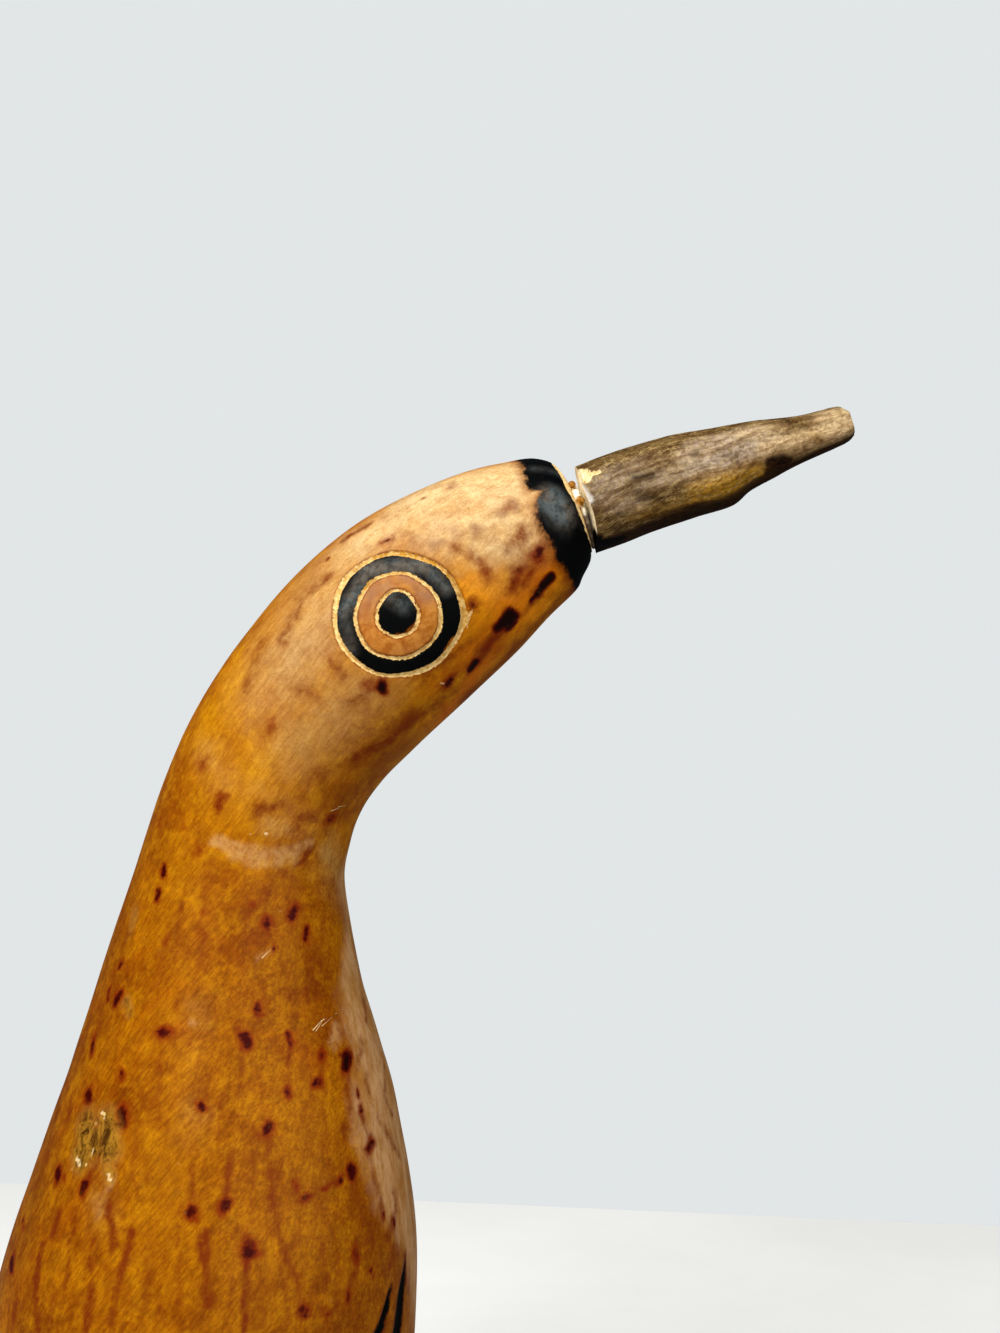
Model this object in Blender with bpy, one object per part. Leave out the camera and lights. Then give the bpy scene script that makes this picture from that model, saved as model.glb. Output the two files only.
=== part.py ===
"""A penguin carved from a dried bottle gourd, standing on its sanded underside.

The gourd is one closed fruit: a bulb, a neck that bends forward and a blunt head. Its eyes and flippers
are cut into the skin as shallow grooves. The beak is a piece of the gourd's own stem, glued to the
head's cut end. The model is in metres, +Z up, with the beak towards +X, and its origin is the centre
of the flat underside.
"""

import math

import bmesh
import bpy
from mathutils import Vector
from mathutils.bvhtree import BVHTree

MM = 0.001
GAP = 0.3  # clearance between pieces that touch, in mm
SHARP_ANGLE = math.radians(35)  # edges sharper than this aren't shaded smooth

# The gourd, in mm: how far forward its centreline is, how high, and its radius there
BULB_RADIUS = 36.5
BULB_HEIGHT = 43.0
BULB_FORWARD = 2.4
BULB_DEPTH = 50.0  # from the widest ring down to where an uncut bulb would end
BULB_FULLNESS = 2.3  # 2 is an ellipse, and more is squarer
BULB_CUTS = (0.0, 1.2, 4.0, 9.0, 16.0, 25.0, 34.0)  # heights of the stations below the widest ring
STATIONS = (
    (3.6, 54.7, 36.0),
    (6.4, 74.0, 33.6),
    (7.8, 92.7, 29.1),
    (8.1, 104.6, 25.5),
    (8.5, 116.5, 21.9),
    (10.2, 133.5, 17.6),
    (12.7, 143.5, 16.6),
    (16.0, 151.6, 16.4),
    (20.8, 159.1, 16.7),
    (26.6, 165.9, 17.3),
    (32.7, 172.2, 17.7),
    (39.6, 178.2, 17.5),
    (47.1, 183.6, 16.4),
    (54.1, 188.2, 14.6),
    (60.4, 191.6, 12.7),
)
HEAD_END = (66.5, 194.7)  # centre of the cut face that the beak meets
HEAD_END_RISE = math.radians(22.5)
HEAD_ROUNDING = ((3.5, 11.2), (1.5, 9.9), (0.4, 8.8), (0.0, 8.0))  # mm short of the face, and radius
RINGS_PER_SPAN = 2
GOURD_SIDES = 36

# The eye, in mm: its middle on the head, seen from the side, and its three cut rings
EYE_CENTRE = (37.3, 176.5)
EYE_RINGS = (10.1, 7.0, 3.3)
RING_POINTS = 28

# A flipper's outline on the bulb: height in mm, and degrees round from the breast. It is open at the top.
FLIPPER_FRONT = (
    (73.0, 20.0),
    (66.0, 21.3),
    (60.0, 22.8),
    (52.0, 25.5),
    (43.0, 30.5),
    (34.0, 38.5),
    (25.0, 50.0),
    (17.5, 65.0),
)
FLIPPER_TIP = (12.5, 82.0)
FLIPPER_STEPS = 3  # path points to each span of the outline
FLIPPER_BACK = (
    (17.5, 87.0),
    (26.0, 80.0),
    (35.0, 68.5),
    (44.0, 56.0),
    (53.0, 43.5),
    (61.0, 32.5),
    (67.5, 26.0),
)
GROOVE_WIDTH = 1.3
GROOVE_DEPTH = 0.65
GROOVE_LIFT = 0.1  # how far a cutter's widest line stays clear of the skin
GROOVE_FADE = 4  # points over which an open groove's end rises out of the skin

# The beak, in mm: distance from its base, how far it rides above its axis, and its radius
BEAK_BASE = (68.4, 194.9)
BEAK_RISE = math.radians(17.8)
BEAK_BASE_RISE = math.radians(13.6)  # the sawn base isn't quite square to the stem
BEAK_STATIONS = (
    (0.0, -0.15, 7.55),
    (5.1, 0.1, 7.6),
    (10.2, 0.3, 7.45),
    (17.7, 0.2, 7.25),
    (24.0, -0.25, 6.8),
    (27.7, 0.25, 5.9),
    (32.0, 0.35, 5.2),
    (36.0, 0.3, 4.4),
    (39.6, 0.2, 3.8),
    (43.0, 0.25, 3.5),
    (46.2, 0.35, 3.1),
    (47.4, 0.3, 2.2),
)
BEAK_SIDES = 30
BEAK_RIBS = 5
BEAK_RIB_HEIGHT = 0.03  # share of the radius

# The glue, in mm
GLUE_RADIUS = 4.6
GLUE_DROP = 1.2  # how far below the joint's middle the glue sits
GLUE_SIDES = 24


def clear_scene():
    for obj in list(bpy.data.objects):
        bpy.data.objects.remove(obj)


def material(name, colour, roughness, metallic=0.0):
    made = bpy.data.materials.new(name)
    made.use_nodes = True
    shader = made.node_tree.nodes["Principled BSDF"]
    shader.inputs["Base Color"].default_value = (*colour, 1.0)
    shader.inputs["Roughness"].default_value = roughness
    shader.inputs["Metallic"].default_value = metallic
    return made


def add_object(name, bm, finish=None):
    """Turns a bmesh in mm into an object in metres, with outward faces and smooth shading."""
    bmesh.ops.scale(bm, vec=(MM, MM, MM), verts=bm.verts)
    bmesh.ops.recalc_face_normals(bm, faces=bm.faces)
    mesh = bpy.data.meshes.new(name)
    bm.to_mesh(mesh)
    bm.free()
    mesh.shade_smooth()
    mesh.set_sharp_from_angle(angle=SHARP_ANGLE)
    if finish:
        mesh.materials.append(finish)
    obj = bpy.data.objects.new(name, mesh)
    bpy.context.collection.objects.link(obj)
    return obj


def smooth_between(before, start, end, after, share):
    """One point of a Catmull-Rom curve, between start and end."""
    found = []
    for a, b, c, d in zip(before, start, end, after):
        slope_b = (c - a) / 2
        slope_c = (d - b) / 2
        cubic = 2 * b - 2 * c + slope_b + slope_c
        square = 3 * c - 3 * b - 2 * slope_b - slope_c
        found.append(((cubic * share + square) * share + slope_b) * share + b)
    return tuple(found)


def smooth_through(points, steps):
    """Points of one smooth curve through the given ones, with steps to each span."""
    first = tuple(2 * a - b for a, b in zip(points[0], points[1]))
    last = tuple(2 * a - b for a, b in zip(points[-1], points[-2]))
    padded = [first, *points, last]
    curve = []
    for i in range(1, len(padded) - 2):
        for step in range(steps):
            curve.append(smooth_between(*padded[i - 1 : i + 3], step / steps))
    curve.append(points[-1])
    return curve


def bulb_radius(height):
    """Radius of the bulb's lower half, a fuller curve than an ellipse."""
    drop = (BULB_HEIGHT - height) / BULB_DEPTH
    return BULB_RADIUS * (1 - drop**BULB_FULLNESS) ** (1 / BULB_FULLNESS)


def gourd_stations():
    """Every station from the underside to the head's cut end, as forward, height and radius."""
    bulb = [(BULB_FORWARD * (z / BULB_HEIGHT) ** 2, z, bulb_radius(z)) for z in BULB_CUTS]
    bulb.append((BULB_FORWARD, BULB_HEIGHT, BULB_RADIUS))
    head = [
        (
            HEAD_END[0] - back * math.cos(HEAD_END_RISE),
            HEAD_END[1] - back * math.sin(HEAD_END_RISE),
            radius,
        )
        for back, radius in HEAD_ROUNDING
    ]
    return [*bulb, *STATIONS, *head]


def ring_rises(line):
    """The angle above level that each ring faces: straight up at the underside, then along the line."""
    rises = []
    for i in range(len(line)):
        low = line[max(i - 1, 0)]
        high = line[min(i + 1, len(line) - 1)]
        rises.append(math.atan2(high[1] - low[1], high[0] - low[0]))
    rises[0] = math.pi / 2
    rises[-1] = HEAD_END_RISE
    return rises


def ring(bm, centre, rise, radii):
    """A closed ring of vertices round a centre (forward, height), facing the given rise.

    The first vertex is on the +Y side.
    """
    up = Vector((-math.sin(rise), 0.0, math.cos(rise)))
    middle = Vector((centre[0], 0.0, centre[1]))
    verts = []
    for i, radius in enumerate(radii):
        turn = math.tau * i / len(radii)
        across = Vector((0.0, math.cos(turn), 0.0))
        verts.append(bm.verts.new(middle + (across + up * math.sin(turn)) * radius))
    return verts


def skin(bm, rings):
    """Joins rings of equal count into one closed body with flat ends."""
    for lower, upper in zip(rings, rings[1:]):
        count = len(lower)
        for i in range(count):
            j = (i + 1) % count
            bm.faces.new((lower[i], lower[j], upper[j], upper[i]))
    bm.faces.new(reversed(rings[0]))
    bm.faces.new(rings[-1])


def build_gourd(finish):
    line = smooth_through(gourd_stations(), RINGS_PER_SPAN)
    rises = ring_rises(line)
    bm = bmesh.new()
    rings = []
    for (forward, height, radius), rise in zip(line, rises):
        rings.append(ring(bm, (forward, height), rise, [radius] * GOURD_SIDES))
    skin(bm, rings)
    return add_object("gourd", bm, finish)


def surface_of(obj):
    """A search tree of the object's faces, in mm."""
    mesh = obj.data
    points = [v.co / MM for v in mesh.vertices]
    return BVHTree.FromPolygons(points, [tuple(p.vertices) for p in mesh.polygons])


def groove_cutter(name, path, closed):
    """A diamond-section tube whose middle follows the surface, for cutting a V groove.

    The path holds pairs of a point on the surface and the outward normal there. The ends of an open path
    rise out of the surface, so the groove grows narrow and shallow there.
    """
    bm = bmesh.new()
    rings = []
    count = len(path)
    for i, (point, normal) in enumerate(path):
        behind = path[i - 1] if closed or i else path[i]
        ahead = path[(i + 1) % count] if closed or i < count - 1 else path[i]
        along = (ahead[0] - behind[0]).normalized()
        side = along.cross(normal).normalized() * GROOVE_WIDTH / 2
        lift = normal * GROOVE_DEPTH
        to_end = GROOVE_FADE if closed else min(i, count - 1 - i)
        middle = point + normal * GROOVE_LIFT + lift * max(0.0, 1 - to_end / GROOVE_FADE)
        rings.append([bm.verts.new(middle + offset) for offset in (side, lift, -side, -lift)])
    for i in range(count if closed else count - 1):
        near = rings[i]
        far = rings[(i + 1) % count]
        for a in range(len(near)):
            b = (a + 1) % len(near)
            bm.faces.new((near[a], near[b], far[b], far[a]))
    if not closed:
        bm.faces.new(reversed(rings[0]))
        bm.faces.new(rings[-1])
    cutter = add_object(name, bm)
    cutter.hide_render = True
    cutter.display_type = "WIRE"
    return cutter


def cut(obj, cutter):
    modifier = obj.modifiers.new(cutter.name, "BOOLEAN")
    modifier.operation = "DIFFERENCE"
    modifier.solver = "EXACT"
    modifier.object = cutter


def eye_path(tree, side, radius):
    """A ring round the eye, laid on the head from one side (-1 or +1 in Y)."""
    path = []
    for i in range(RING_POINTS):
        turn = math.tau * i / RING_POINTS
        start = Vector(
            (
                EYE_CENTRE[0] + radius * math.cos(turn),
                side * 2 * BULB_RADIUS,
                EYE_CENTRE[1] + radius * math.sin(turn),
            )
        )
        point, normal, _, _ = tree.ray_cast(start, Vector((0.0, -side, 0.0)))
        path.append((point, normal))
    return path


def flipper_path(tree, side):
    """A flipper's outline, laid on the bulb: down its front edge, round its tip and up its back edge."""
    corners = [*FLIPPER_FRONT, FLIPPER_TIP, *FLIPPER_BACK]
    path = []
    for height, degrees in smooth_through(corners, FLIPPER_STEPS):
        turn = math.radians(degrees)
        outward = Vector((math.cos(turn), side * math.sin(turn), 0.0))
        axis_point = Vector((BULB_FORWARD, 0.0, height))
        point, normal, _, _ = tree.ray_cast(axis_point + outward * 2 * BULB_RADIUS, -outward)
        path.append((point, normal))
    return path


def carve(gourd):
    """Cuts the eyes' rings and the flippers' outlines, on both sides."""
    tree = surface_of(gourd)
    for side, word in ((-1, "right"), (1, "left")):
        for number, radius in enumerate(EYE_RINGS, 1):
            ring_path = eye_path(tree, side, radius)
            cut(gourd, groove_cutter(f"{word}_eye_ring_{number}", ring_path, closed=True))
        outline = flipper_path(tree, side)
        cut(gourd, groove_cutter(f"{word}_flipper_outline", outline, closed=False))


def build_beak(finish):
    """The stem piece: five soft ribs, a knot two thirds along its underside and a blunt tip."""
    along = Vector((math.cos(BEAK_RISE), 0.0, math.sin(BEAK_RISE)))
    up = Vector((-math.sin(BEAK_RISE), 0.0, math.cos(BEAK_RISE)))
    base = Vector((BEAK_BASE[0], 0.0, BEAK_BASE[1]))
    ribs = [
        1 + BEAK_RIB_HEIGHT * math.cos(BEAK_RIBS * math.tau * i / BEAK_SIDES)
        for i in range(BEAK_SIDES)
    ]
    bm = bmesh.new()
    rings = []
    for distance, lift, radius in BEAK_STATIONS:
        middle = base + along * distance + up * lift
        rise = BEAK_RISE if distance else BEAK_BASE_RISE
        rings.append(ring(bm, (middle.x, middle.z), rise, [radius * rib for rib in ribs]))
    skin(bm, rings)
    return add_object("beak", bm, finish)


def build_glue(finish):
    """A wedge of glue between the head's cut end and the beak's base, clear of both."""
    head_face = Vector((HEAD_END[0], 0.0, HEAD_END[1]))
    head_normal = Vector((math.cos(HEAD_END_RISE), 0.0, math.sin(HEAD_END_RISE)))
    beak_face = Vector((BEAK_BASE[0], 0.0, BEAK_BASE[1]))
    beak_normal = Vector((math.cos(BEAK_BASE_RISE), 0.0, math.sin(BEAK_BASE_RISE)))
    along = Vector((math.cos(BEAK_RISE), 0.0, math.sin(BEAK_RISE)))
    up = Vector((-math.sin(BEAK_RISE), 0.0, math.cos(BEAK_RISE)))
    middle = (head_face + beak_face) / 2 - up * GLUE_DROP
    # The beak rides off its own axis at the base, which moves its face a little along the axis
    planes = (
        (head_face + head_normal * GAP, head_normal),
        (beak_face - beak_normal * GAP + up * BEAK_STATIONS[0][1], beak_normal),
    )
    bm = bmesh.new()
    rings = []
    for point, normal in planes:
        verts = []
        for i in range(GLUE_SIDES):
            turn = math.tau * i / GLUE_SIDES
            rim = middle + (Vector((0.0, math.cos(turn), 0.0)) + up * math.sin(turn)) * GLUE_RADIUS
            slide = (point - rim).dot(normal) / along.dot(normal)
            verts.append(bm.verts.new(rim + along * slide))
        rings.append(verts)
    skin(bm, rings)
    return add_object("glue_seam", bm, finish)


def main():
    clear_scene()
    gourd = build_gourd(material("gourd_skin", (0.58, 0.27, 0.05), 0.35))
    carve(gourd)
    build_beak(material("stem_wood", (0.2, 0.14, 0.08), 0.6))
    build_glue(material("glue", (0.75, 0.6, 0.3), 0.35))


main()
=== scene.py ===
# %% [markdown]
# # A penguin carved from a dried bottle gourd
#
# A bottle gourd dries into a light, woody shell. Here the round end is the bird's body, the bent
# neck is its own neck and head, and a length of the gourd's stem is glued on as the beak. The eyes
# are knife cuts with burnt black between them, and lacquer makes the skin shine.
#
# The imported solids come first. They are the frame: every piece below stays in their space.

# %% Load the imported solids
import math

import bmesh
import bpy
import numpy as np
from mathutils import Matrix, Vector, noise
from mathutils.bvhtree import BVHTree
from mathutils.kdtree import KDTree


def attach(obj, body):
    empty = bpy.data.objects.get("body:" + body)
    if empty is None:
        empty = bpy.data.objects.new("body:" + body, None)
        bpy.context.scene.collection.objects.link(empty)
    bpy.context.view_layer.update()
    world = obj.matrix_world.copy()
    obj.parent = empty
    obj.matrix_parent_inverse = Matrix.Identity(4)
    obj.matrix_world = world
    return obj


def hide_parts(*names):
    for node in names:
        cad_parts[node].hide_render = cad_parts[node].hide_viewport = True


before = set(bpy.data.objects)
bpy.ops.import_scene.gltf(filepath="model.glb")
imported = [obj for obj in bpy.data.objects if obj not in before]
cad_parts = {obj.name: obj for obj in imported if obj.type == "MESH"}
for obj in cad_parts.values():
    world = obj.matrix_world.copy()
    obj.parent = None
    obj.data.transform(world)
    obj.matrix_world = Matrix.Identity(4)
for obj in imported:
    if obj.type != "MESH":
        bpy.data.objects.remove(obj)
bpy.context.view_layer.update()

MM = 0.001
print("solids:", sorted(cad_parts))

# %% [markdown]
# ## Camera
#
# The photograph is a close view from the bird's right side, level with its throat. Everything that is
# placed by a pixel of the photograph goes through this camera, so it is set up before any shape.
# A lens is easiest to state in pixels: how many pixels wide a thing looks when it is as far away as
# it is wide. Blender's sensor width belongs to the picture's long side, here its height.

# %% The camera
PHOTO_WIDTH = 1000
PHOTO_HEIGHT = 1333
FOCAL_PIXELS = 2000
SENSOR = 36.0
VIEWPOINT = Vector((53.9, -340.0, 168.1))  # mm

camera_data = bpy.data.cameras.new("camera")
camera_data.sensor_width = SENSOR
camera_data.lens = SENSOR * FOCAL_PIXELS / PHOTO_HEIGHT
camera_data.clip_start = 0.01
camera = bpy.data.objects.new("camera", camera_data)
camera.location = VIEWPOINT * MM
camera.rotation_euler = (math.pi / 2, 0.0, 0.0)
bpy.context.scene.collection.objects.link(camera)
bpy.context.scene.camera = camera
bpy.context.scene.view_settings.view_transform = "Standard"
print("lens in mm:", round(camera_data.lens, 2))


def sight_line(column, row):
    """The direction from the viewpoint through a pixel of the photograph."""
    right = (column - PHOTO_WIDTH / 2) / FOCAL_PIXELS
    up = (PHOTO_HEIGHT / 2 - row) / FOCAL_PIXELS
    return Vector((right, 1.0, up)).normalized()


# %% [markdown]
# ## The gourd's line
#
# A gourd is nearly round across, so its form is a line up its middle with a radius at each place.
# Stations give the few places that matter: the sanded underside, the widest part, the shoulder, the
# narrow neck, the bend, the head and its cut end. A Catmull-Rom curve runs smoothly through them. It
# could also be a Bezier curve with a tapered bevel, but then the cuts couldn't be worked into it.

# %% Stations along the gourd
BULB_RADIUS = 36.5
BULB_HEIGHT = 43.0
BULB_FORWARD = 2.4
BULB_DEPTH = 50.0
BULB_FULLNESS = 2.3
BULB_CUTS = (0.0, 1.2, 4.0, 9.0, 16.0, 25.0, 34.0)
STATIONS = (
    (3.6, 54.7, 36.0), (6.4, 74.0, 33.6), (7.8, 92.7, 29.1), (8.1, 104.6, 25.5), (8.5, 116.5, 21.9),
    (10.2, 133.5, 17.6), (12.7, 143.5, 16.6), (16.0, 151.6, 16.4), (20.8, 159.1, 16.7),
    (26.6, 165.9, 17.3), (32.7, 172.2, 17.7), (39.6, 178.2, 17.5), (47.1, 183.6, 16.4),
    (54.1, 188.2, 14.6), (60.4, 191.6, 12.7),
)  # forward, height and radius, in mm
HEAD_END = (66.5, 194.7)
HEAD_END_RISE = math.radians(22.5)
HEAD_ROUNDING = ((3.5, 11.2), (1.5, 9.9), (0.4, 8.8), (0.0, 8.0))
FINE_STEPS = 60


def smooth_curve(points, steps):
    """A Catmull-Rom curve through the points, with steps rows of numbers to each span."""
    points = np.array(points, float)
    points = np.vstack([2 * points[0] - points[1], points, 2 * points[-1] - points[-2]])
    share = (np.arange(steps) / steps)[:, None]
    spans = []
    for a, b, c, d in zip(points, points[1:], points[2:], points[3:]):
        slope_b = (c - a) / 2
        slope_c = (d - b) / 2
        cubic = 2 * b - 2 * c + slope_b + slope_c
        square = 3 * c - 3 * b - 2 * slope_b - slope_c
        spans.append(((cubic * share + square) * share + slope_b) * share + b)
    return np.vstack([*spans, points[-2:-1]])


def bulb_radius(height):
    drop = (BULB_HEIGHT - height) / BULB_DEPTH
    return BULB_RADIUS * (1 - drop**BULB_FULLNESS) ** (1 / BULB_FULLNESS)


def gourd_stations():
    bulb = [(BULB_FORWARD * (z / BULB_HEIGHT) ** 2, z, bulb_radius(z)) for z in BULB_CUTS]
    bulb.append((BULB_FORWARD, BULB_HEIGHT, BULB_RADIUS))
    head = [
        (
            HEAD_END[0] - back * math.cos(HEAD_END_RISE),
            HEAD_END[1] - back * math.sin(HEAD_END_RISE),
            radius,
        )
        for back, radius in HEAD_ROUNDING
    ]
    return [*bulb, *STATIONS, *head]


gourd_line = smooth_curve(gourd_stations(), FINE_STEPS)
gourd_path = np.r_[0, np.cumsum(np.linalg.norm(np.diff(gourd_line, axis=0), axis=1))]
gourd_rise = np.arctan2(np.gradient(gourd_line[:, 1]), np.gradient(gourd_line[:, 0]))
print("length of the skin from the underside to the cut end:", round(gourd_path[-1], 1), "mm")

# %% [markdown]
# ## The gourd's lattice
#
# The skin is a lattice of rings and columns. Evenly spaced it would waste points on plain skin and
# be too coarse at the eyes, so the rings crowd together at the head, and the columns on the side that
# carries most marks. Angles go round from the left side (0) over the back and the top of the head
# (90) to the right side (180) and the breast (270).

# %% Rings and columns
HEAD_ZONE = 172.0  # mm along the skin: from here the rings are closest
SHOULDER_ZONE = 84.0
RING_SPACING = (1.0, 0.78, 0.36)  # below the shoulder, up the neck, on the head
RISE_BLUR = 4.0
END_BLEND = 7.0
RIGHT_COLUMNS = 164
LEFT_COLUMNS = 104
UNDERSIDE_SHARES = (0.02, 0.25, 0.5, 0.75, 0.95)  # flat rings inside the underside's edge
CUT_END_SHARES = (0.97, 0.92, 0.86, 0.78, 0.68, 0.55, 0.38, 0.2, 0.03)
CUT_END_DOME = 1.15  # mm that the sawn end stands out in its middle


def spaced(start, end, spacing):
    return np.linspace(start, end, max(2, round((end - start) / spacing)), endpoint=False)


def lattice_angles():
    right = np.linspace(90, 270, RIGHT_COLUMNS, endpoint=False)
    left = np.linspace(270, 450, LEFT_COLUMNS, endpoint=False)
    return np.radians(np.r_[right, left])


def tube_points(forward, height, radius, rise, angles):
    """Rings of points round a bent middle line, each square to the line."""
    middle = np.stack([forward, np.zeros_like(forward), height], -1)[:, None]
    up = np.stack([-np.sin(rise), np.zeros_like(rise), np.cos(rise)], -1)[:, None]
    across = np.array([0.0, 1.0, 0.0])
    turn = angles[None, :, None]
    return middle + (across * np.cos(turn) + up * np.sin(turn)) * radius[:, None, None]


def level_out(path, rise):
    """Averages the line's rise over a few mm, and ends it square to the two flat ends."""
    weights = np.exp(-(((path[:, None] - path) / RISE_BLUR) ** 2)) * np.gradient(path)
    even = weights @ rise / weights.sum(1)
    low = (1 - path / END_BLEND).clip(0, 1)
    high = (1 - (path[-1] - path) / END_BLEND).clip(0, 1)
    return even + low * (math.pi / 2 - even) + high * (HEAD_END_RISE - even)


angles = lattice_angles()
edges = (0.0, SHOULDER_ZONE, HEAD_ZONE, gourd_path[-1])
ring_path = np.concatenate(
    [spaced(a, b, gap) for a, b, gap in zip(edges, edges[1:], RING_SPACING)]
    + [gourd_path[-1:]]
)
forward, height, radius = (np.interp(ring_path, gourd_path, gourd_line[:, k]) for k in range(3))
rise = level_out(ring_path, np.interp(ring_path, gourd_path, gourd_rise))
print("rings:", len(ring_path), "columns:", len(angles))

# %% [markdown]
# The two flat ends are more rings of the same lattice, each a share of the last ring's radius, so the
# whole skin stays one grid of points and numpy can work on all of it at once.

# %% Close the ends
def with_flat_ends(values, low, high):
    """Adds rows for the flat ends: the first and last row again, scaled where a share is given."""
    return np.concatenate([low, values, high])


low_shares = np.array(UNDERSIDE_SHARES)
high_shares = np.array(CUT_END_SHARES)
low_path = ring_path[0] - radius[0] * (1 - low_shares)
high_path = ring_path[-1] + radius[-1] * (1 - high_shares)
skin_path = with_flat_ends(ring_path, low_path, high_path)
skin_radius = with_flat_ends(radius, radius[0] * low_shares, radius[-1] * high_shares)
dome = CUT_END_DOME * (1 - high_shares**2)
dome_forward = forward[-1] + dome * math.cos(HEAD_END_RISE)
dome_height = height[-1] + dome * math.sin(HEAD_END_RISE)
skin_forward = with_flat_ends(forward, forward[0] + 0 * low_shares, dome_forward)
skin_height = with_flat_ends(height, height[0] + 0 * low_shares, dome_height)
skin_rise = with_flat_ends(rise, rise[0] + 0 * low_shares, rise[-1] + 0 * high_shares)
skin_points = tube_points(skin_forward, skin_height, skin_radius, skin_rise, angles)
rows, columns = skin_points.shape[:2]
on_side = with_flat_ends(np.ones(len(radius)), 0 * low_shares, 0 * high_shares)[:, None]
print("skin points:", rows * columns)


def lattice_normals(points):
    """Outward normals of a lattice that is closed round its columns."""
    along = np.gradient(points, axis=0)
    around = np.roll(points, -1, axis=1) - np.roll(points, 1, axis=1)
    normals = np.cross(around, along)
    return normals / np.linalg.norm(normals, axis=2, keepdims=True).clip(1e-9)


def lattice_faces(rows, columns):
    """Quads between the rings, as point numbers."""
    here = np.arange((rows - 1) * columns).reshape(rows - 1, columns)
    beside = np.roll(here, -1, axis=1)
    quads = np.stack([here, beside, beside + columns, here + columns], -1)
    return quads.reshape(-1, 4)


def surface_tree(points, faces):
    """A search tree over a surface, for finding where a line meets it."""
    return BVHTree.FromPolygons(points.reshape(-1, 3).tolist(), faces.tolist())


skin_normals = lattice_normals(skin_points)
skin_faces = lattice_faces(rows, columns)
skin_tree = surface_tree(skin_points, skin_faces)
facing = (skin_normals[rows // 2] * (skin_points[rows // 2] - skin_points[rows // 2].mean(0))).sum(1)
print("normals face outwards:", bool((facing > 0).all()))

# %% [markdown]
# ## Marks placed through the photograph
#
# The skin's spots, streaks and stains are the gourd's own and no two are alike. Each is listed by
# where the photograph shows it, and a line of sight through that pixel finds its place on the skin.
# From then on it belongs to the skin: a mark is a short line on the surface with a reach round it,
# and each point of the mesh stores how deep inside a mark it lies. The shader reads that number,
# adds fine noise to it and cuts it off where the colour ends. Painting a texture would do the same,
# but this keeps the marks editable as numbers and needs no image.

# %% From pixels to the skin
PIXEL = 0.165  # mm on the skin for one pixel of the photograph
TYPICAL_DISTANCE = 325.0


def place_on(tree, column, row):
    """Where the line of sight through a pixel meets the surface, or passes closest to it."""
    direction = sight_line(column, row)
    hit = tree.ray_cast(VIEWPOINT, direction)[0]
    if hit is None:
        hit = tree.find_nearest(VIEWPOINT + direction * TYPICAL_DISTANCE)[0]
    return np.array(hit)


def from_segment(points, start, end):
    """Each point's distance from a straight line between two places."""
    along = end - start
    length = max(float(along @ along), 1e-9)
    share = ((points - start) @ along / length).clip(0, 1)
    return np.linalg.norm(points - start - share[:, None] * along, axis=1)


def depth_in_marks(points, tree, marks):
    """How deep each point lies in the nearest mark: its strength on its line, and 0 past its reach.

    A mark is column, row, column, row of its two ends, its reach in pixels and its strength.
    """
    depth = np.zeros(len(points))
    for column_a, row_a, column_b, row_b, reach, strength in marks:
        start = place_on(tree, column_a, row_a)
        end = place_on(tree, column_b, row_b)
        share = from_segment(points, start, end) / (reach * PIXEL)
        depth = np.maximum(depth, strength * (1 - share))
    return depth


def softly(depth):
    """The same depths with a rounded start and end, for stains without an edge."""
    depth = depth.clip(0, 1)
    return depth * depth * (3 - 2 * depth)


def noise_at(points, size, seed=0):
    """Smooth noise from about -1 to 1, whose lumps are about size mm across."""
    shift = Vector((17.3 * seed, 5.1 * seed, 11.7 * seed))
    return np.array([noise.noise(Vector(p) / size + shift) for p in points.tolist()])


def noise_vectors(points, size, seeds):
    """Smooth noise in three directions, to push points about with."""
    return np.stack([noise_at(points, size, seed) for seed in seeds], -1)


# %% [markdown]
# ### Dots
#
# Small dark dots, each with a red-brown halo. A reach of three times the dot's own radius leaves the
# shader room for both. The strongest get a black heart. The faint ones show a halo alone.

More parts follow.
